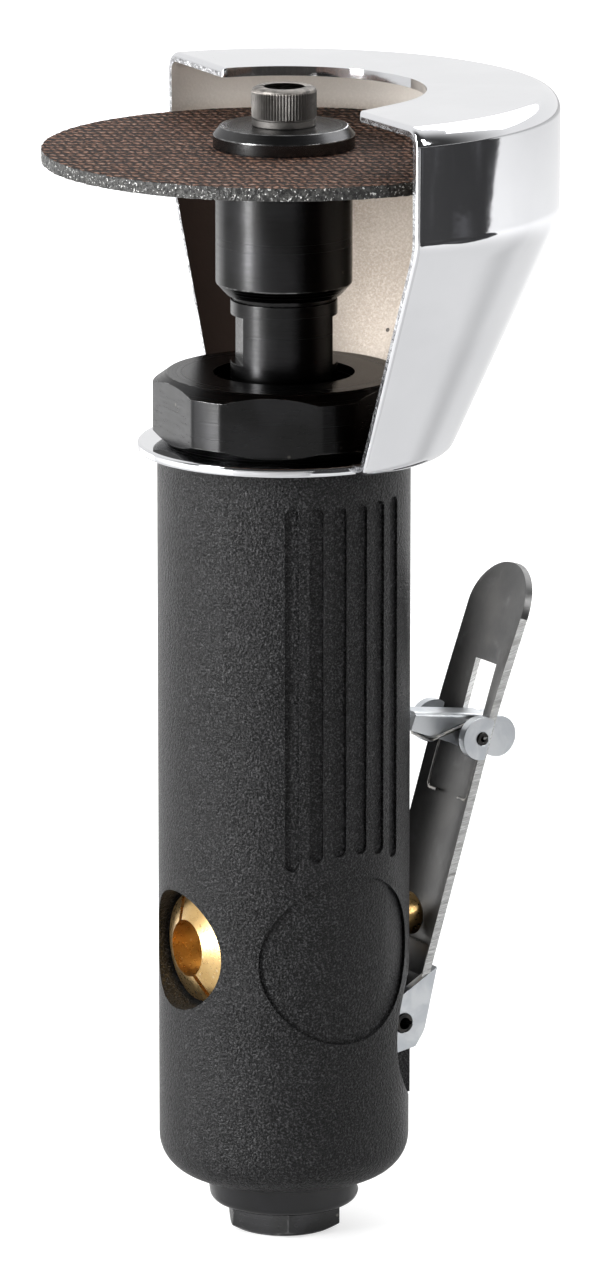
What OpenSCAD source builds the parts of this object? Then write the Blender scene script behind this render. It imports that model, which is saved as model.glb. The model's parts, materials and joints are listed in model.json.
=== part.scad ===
// Pneumatic cut off tool: a vane motor in a round grip, with a guarded cutting wheel on top.
// Millimetres, +Z up along the motor axis. The origin is the centre of the air inlet's mouth,
// +X points to the throttle lever.

/* [Housing] */
// Outside diameter of the grip
housing_d = 39.5; // [38.5:0.5:44]
// Height of the grip's lower end above the inlet mouth
housing_bottom = 9.1; // [8:0.1:12]
// Height of the grip's upper end, where the guard is clamped
housing_top = 125.5; // [124:0.5:132]
// Rounding of the lower edge
housing_round = 6; // [3:0.5:7]
// Thickness of the grip's wall around the motor
housing_wall = 3.25; // [3.05:0.05:3.5]
// Height of the motor bore's floor
motor_floor = 66; // [64:0.5:68]

/* [Grip] */
// Grip slots on each side
slot_count = 6; // [3:1:7]
// Width of a grip slot
slot_w = 2.3; // [1.5:0.1:2.8]
// Depth of a grip slot
slot_depth = 0.9; // [0.4:0.1:1.2]
// Angle from one slot to the next
slot_pitch = 11.1; // [9.5:0.1:12]
// Height of the upper ends of the slots
slot_top = 120; // [100:1:121]
// Radius of the arc that the lower slot ends follow
slot_arc_r = 22; // [20:0.5:30]
// Radius of the round name panel on the side
panel_r = 13.5; // [8:0.5:14]
// Depth of the name panel
panel_depth = 0.5; // [0.2:0.1:0.8]

/* [Guard] */
// Clearance from the wheel's rim to the guard's upright wall
wheel_gap = 3.6; // [2.5:0.1:6]
// Thickness of the guard's sheet
guard_sheet = 1.5; // [1:0.1:2]
// Outside radius of the full clamp ring under the nut
guard_ring_r = 22.8; // [21:0.1:23.2]
// Radius where the cone would meet the ring's plane
guard_foot_r = 25.8; // [25.4:0.1:27]
// Height where the cone meets the upright wall
guard_knee_z = 162.8; // [158:0.2:166]
// Height of the guard's top
guard_top = 182; // [181:0.5:188]
// Inner radius of the guard's top flange
guard_flange_r = 22; // [18:0.5:30]
// Angle of the guard's first end, from +X
guard_start = -93.5; // [-110:0.5:-80]
// Angle that the guard covers
guard_angle = 175.7; // [150:0.1:190]

/* [Wheel and spindle] */
// Diameter of the cutting wheel
wheel_d = 75; // [60:1:78]
// Thickness of the cutting wheel
wheel_t = 2; // [1:0.1:3]
// Height of the wheel's lower face
wheel_z = 171; // [170:0.5:173]
// Diameter of the wheel's bore
wheel_bore_d = 9.6; // [9.6:0.1:10.5]
// Diameter of the inner flange that carries the wheel
inner_flange_d = 21.2; // [18:0.2:24]
// Diameter of the outer flange on the wheel
outer_flange_d = 22; // [16:0.5:26]
// Height of the outer flange
outer_flange_h = 3.4; // [2.4:0.1:5]
// Diameter of the spindle
spindle_d = 16.6; // [15.6:0.2:18]
// Width across the spindle's wrench flats
spindle_flats = 14; // [13:0.5:15]
// Height of the spindle's shoulder under the inner flange
spindle_shoulder = 149.2; // [148:0.2:151]
// Thread diameter of the cap screw
screw_d = 6; // [5:0.5:6]
// Length of the cap screw under its head
screw_length = 22; // [18:1:25]

/* [Clamp nut] */
// Width across the nut's flats
nut_flats = 38; // [37:0.5:40]
// Diameter that the nut's corners are turned to
nut_corner_d = 40.8; // [40.2:0.2:42]
// Height of the nut's hexagon
nut_hex_h = 10.7; // [8:0.1:12]
// Diameter of the nut's hole
nut_hole_d = 22; // [20:0.5:23]

/* [Motor] */
// Clearance between the rotor and the cylinder at their nearest
rotor_gap = 0.3; // [0.2:0.05:1]
// Length of the cylinder between the end plates
cylinder_length = 30; // [28:0.5:31]
// Thickness of the cylinder's wall where it is thinnest
cylinder_wall = 1.9; // [1.7:0.1:2]
// Offset of the cylinder's bore from the rotor's axis
cylinder_offset = 1.5; // [1.2:0.05:1.5]
// Vanes in the rotor
vane_count = 5; // [4:1:6]
// Thickness of a vane
vane_t = 1.5; // [1:0.1:2]
// Thickness of the rear end plate
rear_plate_t = 8; // [8:0.2:9]
// Thickness of the front end plate
front_plate_t = 9; // [9:0.2:10]
// Thickness of the motor gasket
gasket_t = 0.8; // [0.5:0.1:1.2]

/* [Lever and latch] */
// Width of the throttle lever
lever_w = 16; // [14:0.5:17]
// Thickness of the lever's sheet
lever_sheet = 1.5; // [1:0.1:1.8]
// Radius of the lever's curved section, outside
lever_arc_r = 15; // [12:0.5:24]
// Lean of the lever away from the grip
lever_lean = 17; // [16:0.25:18]
// Height of the lever's rounded tip
lever_tip_z = 102; // [94:0.5:106]
// Depth of the lever's pivot under the grip's side
pivot_depth = 2.35; // [2.15:0.05:2.75]
// Height of the lever's pivot
pivot_z = 32; // [31:0.5:33]
// Diameter of the lever's roll pin
pivot_pin_d = 3; // [2.5:0.1:3]
// Distance of the latch's pin from the grip's side
latch_reach = 12.15; // [11.95:0.05:12.55]
// Height of the latch's pin
latch_z = 76.5; // [76:0.25:77]
// Diameter of the latch's roll pin
latch_pin_d = 2; // [1.6:0.1:2]
// Width of the latch over its cheeks
latch_w = 5.4; // [4.6:0.1:5.6]
// Thickness of the latch's sheet
latch_sheet = 1.2; // [0.8:0.1:1.4]
// Wire diameter of the latch's spring
latch_wire = 0.6; // [0.5:0.05:0.65]
// Turns of the latch's spring on each side
latch_turns = 2; // [1:1:2]

/* [Valve and regulator] */
// Height of the valve's cross bore
valve_z = 47.5; // [47:0.5:49]
// Diameter of the plunger's head
plunger_d = 6.9; // [5.5:0.1:7]
// Diameter of the valve's bushing
bushing_d = 10; // [9.6:0.2:11]
// Diameter of the regulator's head
regulator_d = 17.2; // [15:0.2:18]
// Diameter of the housing's hole around the regulator
regulator_hole_d = 19; // [18.6:0.2:20]
// Diameter of the regulator's round recess
regulator_recess_d = 9; // [7:0.5:10]
// Angle of the regulator's screwdriver slot
regulator_slot_turn = 28; // [0:1:90]

/* [Air inlet] */
// Width across the inlet's flats
inlet_flats = 17; // [15.6:0.5:19]
// Height of the inlet's hexagon
inlet_hex_h = 4; // [3:0.1:5]
// Core diameter of the inlet's thread
inlet_thread_d = 11.44; // [11:0.02:12]
// Depth of the inlet's thread
inlet_thread_depth = 10; // [8:0.5:12]
// Diameter of the inlet's barrel
inlet_barrel_d = 15; // [14.6:0.1:15.4]
// Outside diameter of the exhaust deflector
deflector_d = 24.8; // [23.6:0.2:26]
// Angle of the deflector's outlet, from +X
outlet_turn = -14; // [-40:1:40]

/* [Fits] */
// Radial gap between pieces that are pressed or screwed together
seat_gap = 0.02; // [0.02:0.01:0.04]
// Radial gap between pieces that turn on each other
run_gap = 0.1; // [0.08:0.01:0.12]
// Gap between pieces that pass each other freely
free_gap = 0.3; // [0.25:0.05:0.35]

/* [Hidden] */
$fn = 72;
over = 1;                                   // how far a cutter runs past a face

// Housing and its bores
housing_r = housing_d / 2;
motor_bore_r = housing_r - housing_wall;
barrel_r = inlet_barrel_d / 2;
thread_engagement = 10;                     // length of the inlet's thread in the housing
exhaust_depth = 10.9;                       // depth of the exhaust ring in the housing's lower end
exhaust_r = 11.4;                           // outer radius of the exhaust ring
exhaust_top = housing_bottom + exhaust_depth;
barrel_top = exhaust_top + thread_engagement;
inlet_way_r = 4.5;                          // radius of the air way above the inlet
exhaust_way_r = 2.2;                        // radius of an exhaust way past the valve
exhaust_way_inset = 3.33;                   // exhaust way's middle inside the motor bore's wall
exhaust_way_turn = 120;
exhaust_way_pos = (motor_bore_r - exhaust_way_inset) * [cos(exhaust_way_turn), sin(exhaust_way_turn)];
boss_w = 12.4;                              // width of the lever's boss
boss_proud = 0.85;                          // how far the boss stands out of the grip
boss_below = 12;                            // reach of the boss under and over the pivot
boss_above = 4.5;
boss_bottom = pivot_z - boss_below;
boss_top = pivot_z + boss_above;
pivot_x = housing_r - pivot_depth;
latch_x = housing_r + latch_reach;
pocket_r = 13;                              // radius of the pockets beside the boss
pocket_out = 6.3;                           // pockets' middle outside the pivot
pocket_x = pivot_x + pocket_out;

// Motor stack, from the bore's floor to the nut
rear_plate_z = motor_floor + gasket_t;
cylinder_z = rear_plate_z + rear_plate_t;
front_plate_z = cylinder_z + cylinder_length;
nut_bottom = front_plate_z + front_plate_t;
plate_r = motor_bore_r - run_gap;
air_way_inset = 3.7;                        // air way's middle inside the motor bore's wall
air_way_x = motor_bore_r - air_way_inset;   // air way from the valve into the motor
air_way_r = 2;
cylinder_r = plate_r - cylinder_wall - cylinder_offset;
rotor_r = cylinder_r - cylinder_offset - rotor_gap;
rotor_end_gap = 0.3;
vane_root_r = 5.3;
dowel_r = 0.8;
dowel_inset = 1.8;                          // dowel's middle inside the cylinder's outside
dowel_y = plate_r - dowel_inset;
dowel_sink = 3;                             // how far the dowel reaches into each end plate

// Bearings: standard outside, bore and width; the rest of a bearing's list follows from them
rear_bearing_d = 19;
rear_bearing_bore = 6;
rear_bearing_w = 6;
rear_ball_share = 0.4923;                   // ball size as a share of the room between bore and outside
bearing_wall = 5.5;                         // wall of the front plate around its bearing
front_bearing_d = 2 * (motor_bore_r - bearing_wall);
front_bearing_bore = 8;
front_bearing_w = 7;
front_ball_share = 0.5571;
groove_gap = 0.15;                          // how much a groove is wider than its ball
race_share = 0.3;                           // a ring's thickness at its shoulder, as such a share
OUTER = 0;
BORE = 1;
WIDTH = 2;
CIRCLE = 3;
BALL = 4;
GROOVE = 5;
OUTER_LIP = 6;
INNER_LIP = 7;
function bearing(d, bore_d, w, ball_share) =
    let (room = (d - bore_d) / 2, ball_r = ball_share * room / 2, race_t = race_share * room)
    [d / 2, bore_d / 2, w, (d + bore_d) / 4, ball_r, ball_r + groove_gap, d / 2 - race_t, bore_d / 2 + race_t];
rear_bearing = bearing(rear_bearing_d, rear_bearing_bore, rear_bearing_w, rear_ball_share);
front_bearing = bearing(front_bearing_d, front_bearing_bore, front_bearing_w, front_ball_share);
ball_count = 7;
cage_t = 0.7;
cage_h = 1;
rear_bearing_z = cylinder_z - 1.6 - rear_bearing[WIDTH];
front_bearing_z = nut_bottom - front_bearing[WIDTH];
shaft_collar = 0.55;                        // shoulder of the rotor's shaft behind each bearing

// Spindle, wheel and guard
ring_z = housing_top;
nut_seat = ring_z + guard_sheet;
nut_top = nut_seat + nut_hex_h;
spindle_r = spindle_d / 2;
spindle_neck_r = 5.4;
spindle_neck_h = 1.7;
flats_h = 7.5;                              // height of the wrench flats
flats_top = spindle_shoulder - 2.2;
flats_turn = 156.2;
shaft_reach = 20;                           // how far the rotor's shaft goes into the spindle
stub_r = 6;                                 // stub that carries the inner flange
stub_h = 14.8;
flange_chamfer = 1.7;
flange_chamfer_h = 1.9;
relief_h = 0.8;                             // relief under the inner flange
relief_r = 8;
pilot_h = wheel_t - 0.4;
outer_flange_z = wheel_z + wheel_t;
screw_seat = outer_flange_z + outer_flange_h;
screw_r = screw_d / 2;
screw_head_r = 0.84 * screw_d;
screw_clear = 0.2;
socket_flats = 5;
socket_depth = 3;
guard_r = wheel_d / 2 + wheel_gap + guard_sheet;
guard_lean = atan((guard_r - guard_foot_r) / (guard_knee_z - ring_z));
guard_foot_round = 3;
guard_knee_round = 10;
guard_top_round = 3;
bend_steps = 8;                             // facets of a sheet bend
ring_hole_r = motor_bore_r + free_gap;

// Lever: its own frame has x out of the sheet and z along it, from a point on the outer face
lever_reach = 8.12;                         // the point's distance from the grip's side
lever_foot_z = 50;
lever_foot = [housing_r + lever_reach, 0, lever_foot_z];
pin_offset = [latch_x - lever_foot[0], latch_z - lever_foot[2]];
pin_local = [
    pin_offset[0] * cos(lever_lean) - pin_offset[1] * sin(lever_lean),
    pin_offset[0] * sin(lever_lean) + pin_offset[1] * cos(lever_lean)
];
lever_length = (lever_tip_z - lever_foot[2]) / cos(lever_lean);
ear_inside = boss_w / 2 + free_gap;
ear_outside = lever_w / 2;
web_offset = -1;                            // outer face of the flat foot, in the lever's frame
web_bottom = (pivot_z + 6 - lever_foot[2]) / cos(lever_lean);
web_top = -7.5;
web_lap = 3.2;                              // where the curved blade runs on into the flat foot
ear_bottom = pivot_z - 5;
ear_round = 4.2;
ear_set_back = 0.4;                         // ear's front edge behind the foot's outer face
window_w = latch_w + 3 * free_gap;
window_below = 1.9;                         // reach of the window under and over the pin
window_above = 11.6;
window_low = pin_local[1] - window_below;
window_high = pin_local[1] + window_above;
tab_r = 3.5;
tab_cut = -2.4;                             // where the latch's tabs fold into the sheet
spring_relief = 1.7;                        // half height of the gap in the sheet beside the spring
pivot_r = pivot_pin_d / 2;
pin_r = latch_pin_d / 2;
pin_wall = 0.55;
pin_proud = 0.3;

// Latch, in x and z from its pin
latch_tip = [-10, 1.5];
latch_tip_top = [-9.2, 4.4];
latch_low = [-6.1, 0.05];
latch_heel = [4.6, 2.4];
latch_thumb = [6.4, -1.5];
thumb_r = 3.3;
latch_eye_r = 2.4;
coil_r = pin_r + latch_wire / 2 + 0.08;
coil_y = latch_w / 2 + free_gap + latch_wire / 2;
coil_pitch = latch_wire + 0.45;
loop_x = -6.4;                              // cross bar of the spring under the latch
loop_z = -0.35;
leg_length = 10.4;
foot_length = 2.6;

// Valve and regulator, along X
lever_inner_x = lever_foot[0] - lever_sheet / cos(lever_lean)
    - (lever_foot[2] - valve_z) * tan(lever_lean);
plunger_tip = lever_inner_x - 0.4;
plunger_r = plunger_d / 2;
dome_h = 1.5;
dome_r = (plunger_r * plunger_r + dome_h * dome_h) / (2 * dome_h);
bushing_r = bushing_d / 2;
bushing_in = 3;
bushing_out = housing_r - 0.8;
bushing_port_r = 1.6;                       // port from the bushing into the motor's air way
guide_r = 2.2;                              // stem in the bushing
guide_in = air_way_x + bushing_port_r + free_gap;
guide_out = guide_in + 2.4;
plunger_travel = 2.2;                       // room for the plunger's head to go in
stem_land = 0.2;
poppet_r = 4.2;
poppet_t = 2;
seal_rest = 0.05;                           // gap at a seal or spring that only rests on its seat
poppet_x = bushing_in - 0.9 - poppet_t;
chamber_r = 6.6;
regulator_shelf = 7.75 - housing_r;         // where the regulator's head rests
regulator_face = 1.95 - housing_r;
regulator_rim = 3.85 - housing_r;
regulator_in = -6.5;
regulator_r = regulator_d / 2;
regulator_stem_r = chamber_r - run_gap;
regulator_recess_depth = 5;
recess_r = regulator_recess_d / 2;
seal_r = 0.9;                               // half width of the regulator's and the inlet's seal grooves
regulator_groove = 1.5;                     // depth of the regulator's seal groove
regulator_seal_x = regulator_in - 2.6;
bushing_groove = 1.1;                       // depth and half width of the bushing's seal groove
bushing_groove_half = 0.66;
bushing_seal_r = 0.54;                      // radius of the bushing seal's section
bushing_seal_x = bushing_in + 2.4;
stem_neck_r = 1.6;
spring_wire = 0.8;
spring_coil_r = 2.9;
spring_turns = 4;

// Inlet and exhaust
deflector_r = deflector_d / 2;
deflector_gap = 0.1;
deflector_low = inlet_hex_h + deflector_gap;
deflector_high = housing_bottom - deflector_gap;
deflector_wall = 1.2;
deflector_floor = 1.4;
deflector_round = 1.5;
deflector_taper = 0.6;
outlet_angle = 68;
hex_chamfer = 1;
hex_turn = 2.3;
felt_lift = 1;                              // felt's lower end above the housing's lower end
inlet_groove_z = barrel_top - 2.1;          // middle of the inlet's seal groove

// A vector's direction
function unit(v) = v / norm(v);

// Directions along a route
function route_dirs(p) = [
    for (i = [0:len(p) - 1]) unit(p[min(i + 1, len(p) - 1)] - p[max(i - 1, 0)])
];

// A side vector for each point of a route, carried along without twist
function carry(d, i, n) =
    let (side = unit(n - (n * d[i]) * d[i]))
    i == len(d) - 1 ? [side] : concat([side], carry(d, i + 1, side));

// Wire of radius r along a route, as one closed skin of triangles
module wire(p, r, first_side, sides = 6) {
    d = route_dirs(p);
    n = carry(d, 0, first_side);
    rings = len(p);
    points = [
        for (i = [0:rings - 1], k = [0:sides - 1])
            p[i] + r * (cos(360 * k / sides) * n[i] + sin(360 * k / sides) * cross(d[i], n[i]))
    ];
    skin = [
        for (i = [0:rings - 2], k = [0:sides - 1])
            let (a = i * sides + k, b = i * sides + (k + 1) % sides)
            each [[a, a + sides, b], [b, a + sides, b + sides]]
    ];
    first_cap = [for (k = [1:sides - 2]) [0, k, k + 1]];
    last = (rings - 1) * sides;
    last_cap = [for (k = [1:sides - 2]) [last, last + k + 1, last + k]];
    polyhedron(points, concat(skin, first_cap, last_cap));
}

// Least distance between two stretches of a route that are further apart along it than reach points
function route_gap(p, reach) = min([
    for (i = [0:len(p) - 1 - reach], j = [i + reach:len(p) - 1]) norm(p[i] - p[j])
]);

// Revolved shape turned to lie along -X, with its own z as the distance from the motor axis
module along_minus_x(z) { translate([0, 0, z]) rotate([0, -90, 0]) children(); }

// Revolved shape turned to lie along +X, with its own z as the distance from the motor axis
module along_plus_x(z) { translate([0, 0, z]) rotate([0, 90, 0]) children(); }

// Plate in the XZ plane, from y0 to y1
module upright_plate(y0, y1) {
    translate([0, y1, 0]) rotate([90, 0, 0]) linear_extrude(y1 - y0) children();
}

// Tube about +Z
module tube(r_out, r_in, z0, z1) {
    translate([0, 0, z0]) difference() {
        cylinder(r = r_out, h = z1 - z0);
        translate([0, 0, -over]) cylinder(r = r_in, h = z1 - z0 + 2 * over);
    }
}

// Round bore about +Z
module bore(r, z0, z1) { translate([0, 0, z0]) cylinder(r = r, h = z1 - z0); }

// Slotted roll pin about +Z, centred on the origin
module roll_pin(r, length) {
    slit = 0.5;
    difference() {
        tube(r, r - pin_wall, -length / 2, length / 2);
        translate([0, -slit / 2, -length]) cube([2 * r, slit, 2 * length]);
    }
}

// Points of a round bend in a profile, from angle a0 to a1
function bend(centre, r, a0, a1) = [
    for (i = [0:bend_steps]) let (a = a0 + (a1 - a0) * i / bend_steps) centre + r * [cos(a), sin(a)]
];

// Outline of the housing in r and z
module housing_profile() {
    difference() {
        translate([0, housing_bottom]) square([housing_r, housing_top - housing_bottom]);
        translate([housing_r - housing_round, housing_bottom]) difference() {
            translate([0, -over]) square([housing_round + over, housing_round + over]);
            translate([0, housing_round]) circle(housing_round);
        }
    }
}

// One grip slot as a cutter, at an angle from the middle of the side, reaching down to z0
module grip_slot(turn, z0) {
    r = slot_w / 2;
    rotate([0, 0, turn]) translate([housing_r - slot_depth, 0, 0]) rotate([90, 0, 90])
        linear_extrude(slot_depth + over) {
            translate([-r, z0 + r]) square([slot_w, slot_top - z0 - slot_w]);
            translate([0, z0 + r]) circle(r);
            translate([0, slot_top - r]) circle(r);
        }
}

// Grip slots of one side, whose middle is at an angle from +X
module grip_slots(side) {
    arc_centre = valve_z - 5;
    for (i = [0:slot_count - 1]) {
        turn = (i - (slot_count - 1) / 2) * slot_pitch;
        across = housing_r * sin(turn);
        grip_slot(side + turn, arc_centre + sqrt(slot_arc_r * slot_arc_r - across * across));
    }
}

module housing() {
    side_reach = 2 * housing_r;
    color([0.19, 0.19, 0.2]) difference() {
        union() {
            rotate_extrude() housing_profile();
            intersection() {
                tube(housing_r + boss_proud, housing_r / 2, boss_bottom, boss_top);
                translate([0, -boss_w / 2, boss_bottom]) cube([side_reach, boss_w, boss_top - boss_bottom]);
            }
        }
        bore(motor_bore_r, motor_floor, housing_top + over);
        bore(exhaust_r, housing_bottom - over, exhaust_top);
        bore(barrel_r + seat_gap, housing_bottom, barrel_top);
        bore(inlet_way_r, barrel_top - over, valve_z);
        for (s = [-1, 1]) translate([exhaust_way_pos[0], s * exhaust_way_pos[1], exhaust_top - over])
            cylinder(r = exhaust_way_r, h = motor_floor - exhaust_top + 2 * over);
        translate([air_way_x, 0, valve_z]) cylinder(r = air_way_r, h = motor_floor - valve_z + over);
        along_plus_x(valve_z) bore(bushing_r + seat_gap, bushing_in - over, side_reach);
        along_minus_x(valve_z) bore(chamber_r, -bushing_in, side_reach);
        along_minus_x(valve_z) bore(regulator_hole_d / 2, -regulator_shelf, side_reach);
        for (side = [-90, 90]) grip_slots(side);
        difference() {
            translate([0, 0, valve_z]) rotate([90, 0, 0]) cylinder(r = panel_r, h = side_reach);
            bore(housing_r - panel_depth, 0, housing_top);
        }
        for (s = [-1, 1]) translate([pocket_x, s * (boss_w + side_reach) / 2, pivot_z])
            rotate([90, 0, 0]) cylinder(r = pocket_r, h = side_reach, center = true);
        translate([pivot_x, 0, pivot_z]) rotate([90, 0, 0])
            cylinder(r = pivot_r + seat_gap, h = 2 * boss_w, center = true);
    }
}

module clamp_nut() {
    spigot_r = motor_bore_r - run_gap;
    corner_r = nut_corner_d / 2;
    chamfer_h = 1.6;
    nut_turn = 22.5;
    crown_r = nut_flats / 2 - 0.8;
    color([0.13, 0.13, 0.14]) difference() {
        union() {
            intersection() {
                translate([0, 0, nut_seat]) rotate([0, 0, nut_turn])
                    cylinder(d = nut_flats / cos(30), h = nut_hex_h, $fn = 6);
                rotate_extrude() polygon([
                    [0, nut_seat], [crown_r, nut_seat], [corner_r, nut_seat + chamfer_h],
                    [corner_r, nut_top - chamfer_h], [crown_r, nut_top], [0, nut_top]
                ]);
            }
            bore(spigot_r, nut_bottom, nut_seat + over);
        }
        bore(nut_hole_d / 2, nut_bottom - over, nut_top + over);
    }
}

// Section of the guard's sheet in r and z: foot, cone, upright wall and top flange
module guard_profile() {
    foot_run = guard_foot_round * tan((90 - guard_lean) / 2);
    knee_run = guard_knee_round * tan(guard_lean / 2);
    along = [sin(guard_lean), cos(guard_lean)];
    out = [cos(guard_lean), -sin(guard_lean)];
    foot = [guard_foot_r, ring_z] + foot_run * along - guard_foot_round * out;
    knee = [guard_r, guard_knee_z] - knee_run * along - guard_knee_round * out;
    corner = [guard_r, guard_top] - guard_top_round * [1, 1];
    ring_in = guard_ring_r - guard_sheet;
    polygon(concat(
        [[ring_in, ring_z]],
        bend(foot, guard_foot_round, -90, -guard_lean),
        bend(knee, guard_knee_round, -guard_lean, 0),
        bend(corner, guard_top_round, 0, 90),
        [[guard_flange_r, guard_top], [guard_flange_r, guard_top - guard_sheet]],
        bend(corner, guard_top_round - guard_sheet, 90, 0),
        bend(knee, guard_knee_round - guard_sheet, 0, -guard_lean),
        bend(foot, guard_foot_round - guard_sheet, -guard_lean, -90),
        [[ring_in, ring_z + guard_sheet]]
    ));
}

module wheel_guard() {
    color([0.82, 0.83, 0.85]) {
        tube(guard_ring_r, ring_hole_r, ring_z, ring_z + guard_sheet);
        rotate_extrude(angle = guard_angle, start = guard_start) guard_profile();
    }
}

module motor_cylinder() {
    port_x = (plate_r + cylinder_r - cylinder_offset) / 2;
    port_r = 1.1;
    port_count = 4;
    port_step = cylinder_length / port_count;
    exhaust_w = 9;
    exhaust_h = 2.2;
    color([0.55, 0.55, 0.57]) difference() {
        bore(plate_r, cylinder_z, cylinder_z + cylinder_length);
        translate([-cylinder_offset, 0, cylinder_z - over])
            cylinder(r = cylinder_r, h = cylinder_length + 2 * over);
        translate([port_x, 0, cylinder_z - over])
            cylinder(r = port_r, h = cylinder_length - port_step + over);
        for (i = [0:port_count - 1]) {
            translate([0, 0, cylinder_z + (i + 0.3) * port_step]) rotate([0, 90, 0])
                cylinder(r = port_r, h = port_x);
            translate([-plate_r - over, -exhaust_w / 2, cylinder_z + (i + 0.4) * port_step])
                cube([plate_r, exhaust_w, exhaust_h]);
        }
        translate([0, dowel_y, cylinder_z - over])
            cylinder(r = dowel_r + seat_gap, h = cylinder_length + 2 * over);
    }
}

module front_end_plate() {
    color([0.6, 0.6, 0.62]) difference() {
        bore(plate_r, front_plate_z, nut_bottom);
        bore(front_bearing[OUTER] + seat_gap, front_bearing_z, nut_bottom + over);
        bore(front_bearing[BORE] + shaft_collar + free_gap, front_plate_z - over, nut_bottom);
        translate([0, dowel_y, front_plate_z - over])
            cylinder(r = dowel_r + seat_gap, h = dowel_sink + over);
    }
}

module rear_end_plate() {
    color([0.6, 0.6, 0.62]) difference() {
        bore(plate_r, rear_plate_z, cylinder_z);
        bore(rear_bearing[OUTER] + seat_gap, rear_plate_z - over, rear_bearing_z + rear_bearing[WIDTH]);
        bore(rear_bearing[BORE] + shaft_collar + free_gap, rear_plate_z - over, cylinder_z + over);
        translate([air_way_x, 0, rear_plate_z - over])
            cylinder(r = air_way_r, h = rear_plate_t + 2 * over);
        translate([0, dowel_y, cylinder_z - dowel_sink])
            cylinder(r = dowel_r + seat_gap, h = dowel_sink + over);
    }
}

module cylinder_dowel() {
    color([0.7, 0.7, 0.72]) translate([0, dowel_y, cylinder_z - dowel_sink])
        cylinder(r = dowel_r, h = cylinder_length + 2 * dowel_sink);
}

module motor_gasket() {
    rim = 2.4;
    color([0.25, 0.32, 0.3]) difference() {
        tube(plate_r, rear_bearing[OUTER] - rim, motor_floor, rear_plate_z);
        translate([air_way_x, 0, motor_floor - over]) cylinder(r = air_way_r, h = gasket_t + 2 * over);
        for (s = [-1, 1]) translate([exhaust_way_pos[0], s * exhaust_way_pos[1], motor_floor - over])
            cylinder(r = exhaust_way_r, h = gasket_t + 2 * over);
    }
}

// Outer ring, inner ring and caged balls of a bearing whose lower face is at z
module bearing_outer(b, z) {
    color([0.75, 0.75, 0.77]) translate([0, 0, z]) difference() {
        tube(b[OUTER], b[OUTER_LIP], 0, b[WIDTH]);
        translate([0, 0, b[WIDTH] / 2]) rotate_extrude() translate([b[CIRCLE], 0]) circle(b[GROOVE]);
    }
}

module bearing_inner(b, z) {
    color([0.75, 0.75, 0.77]) translate([0, 0, z]) difference() {
        tube(b[INNER_LIP], b[BORE] + seat_gap, 0, b[WIDTH]);
        translate([0, 0, b[WIDTH] / 2]) rotate_extrude() translate([b[CIRCLE], 0]) circle(b[GROOVE]);
    }
}

module bearing_balls(b, z) {
    color([0.8, 0.8, 0.82]) translate([0, 0, z + b[WIDTH] / 2]) {
        tube(b[CIRCLE] + cage_t / 2, b[CIRCLE] - cage_t / 2, -cage_h / 2, cage_h / 2);
        for (i = [0:ball_count - 1])
            rotate([0, 0, i * 360 / ball_count]) translate([b[CIRCLE], 0, 0]) sphere(b[BALL]);
    }
}

module front_bearing_outer() { bearing_outer(front_bearing, front_bearing_z); }
module front_bearing_balls() { bearing_balls(front_bearing, front_bearing_z); }
module front_bearing_inner() { bearing_inner(front_bearing, front_bearing_z); }
module rear_bearing_outer() { bearing_outer(rear_bearing, rear_bearing_z); }
module rear_bearing_balls() { bearing_balls(rear_bearing, rear_bearing_z); }
module rear_bearing_inner() { bearing_inner(rear_bearing, rear_bearing_z); }

module rotor() {
    low = cylinder_z + rotor_end_gap;
    high = front_plate_z - rotor_end_gap;
    slot = vane_t + 2 * run_gap;
    color([0.5, 0.5, 0.52]) difference() {
        union() {
            bore(rotor_r, low, high);
            bore(rear_bearing[BORE], rear_bearing_z, low + over);
            bore(rear_bearing[BORE] + shaft_collar, rear_bearing_z + rear_bearing[WIDTH], low + over);
            bore(front_bearing[BORE] + shaft_collar, high - over, front_bearing_z);
            bore(front_bearing[BORE], high - over, nut_bottom + shaft_reach);
        }
        for (i = [0:vane_count - 1]) rotate([0, 0, (i + 0.5) * 360 / vane_count])
            translate([vane_root_r, -slot / 2, low - over]) cube([rotor_r, slot, high - low + 2 * over]);
    }
}

module rotor_vanes() {
    low = cylinder_z + rotor_end_gap;
    high = front_plate_z - rotor_end_gap;
    color([0.45, 0.33, 0.2]) for (i = [0:vane_count - 1]) rotate([0, 0, (i + 0.5) * 360 / vane_count])
        translate([vane_root_r + run_gap, -vane_t / 2, low])
            cube([rotor_r - vane_root_r - 2 * run_gap, vane_t, high - low]);
}

module spindle() {
    body_low = nut_bottom + spindle_neck_h;
    color([0.15, 0.15, 0.16]) difference() {
        union() {
            bore(spindle_neck_r, nut_bottom, body_low + over);
            bore(spindle_r, body_low, spindle_shoulder);
            bore(stub_r, spindle_shoulder - over, spindle_shoulder + stub_h);
        }
        bore(front_bearing[BORE] + seat_gap, nut_bottom - over, nut_bottom + shaft_reach + free_gap);
        bore(screw_r + seat_gap, spindle_shoulder, spindle_shoulder + stub_h + over);
        for (s = [0, 180]) rotate([0, 0, flats_turn + s])
            translate([spindle_flats / 2, -spindle_r, flats_top - flats_h])
                cube([spindle_r, spindle_d, flats_h]);
    }
}

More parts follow.
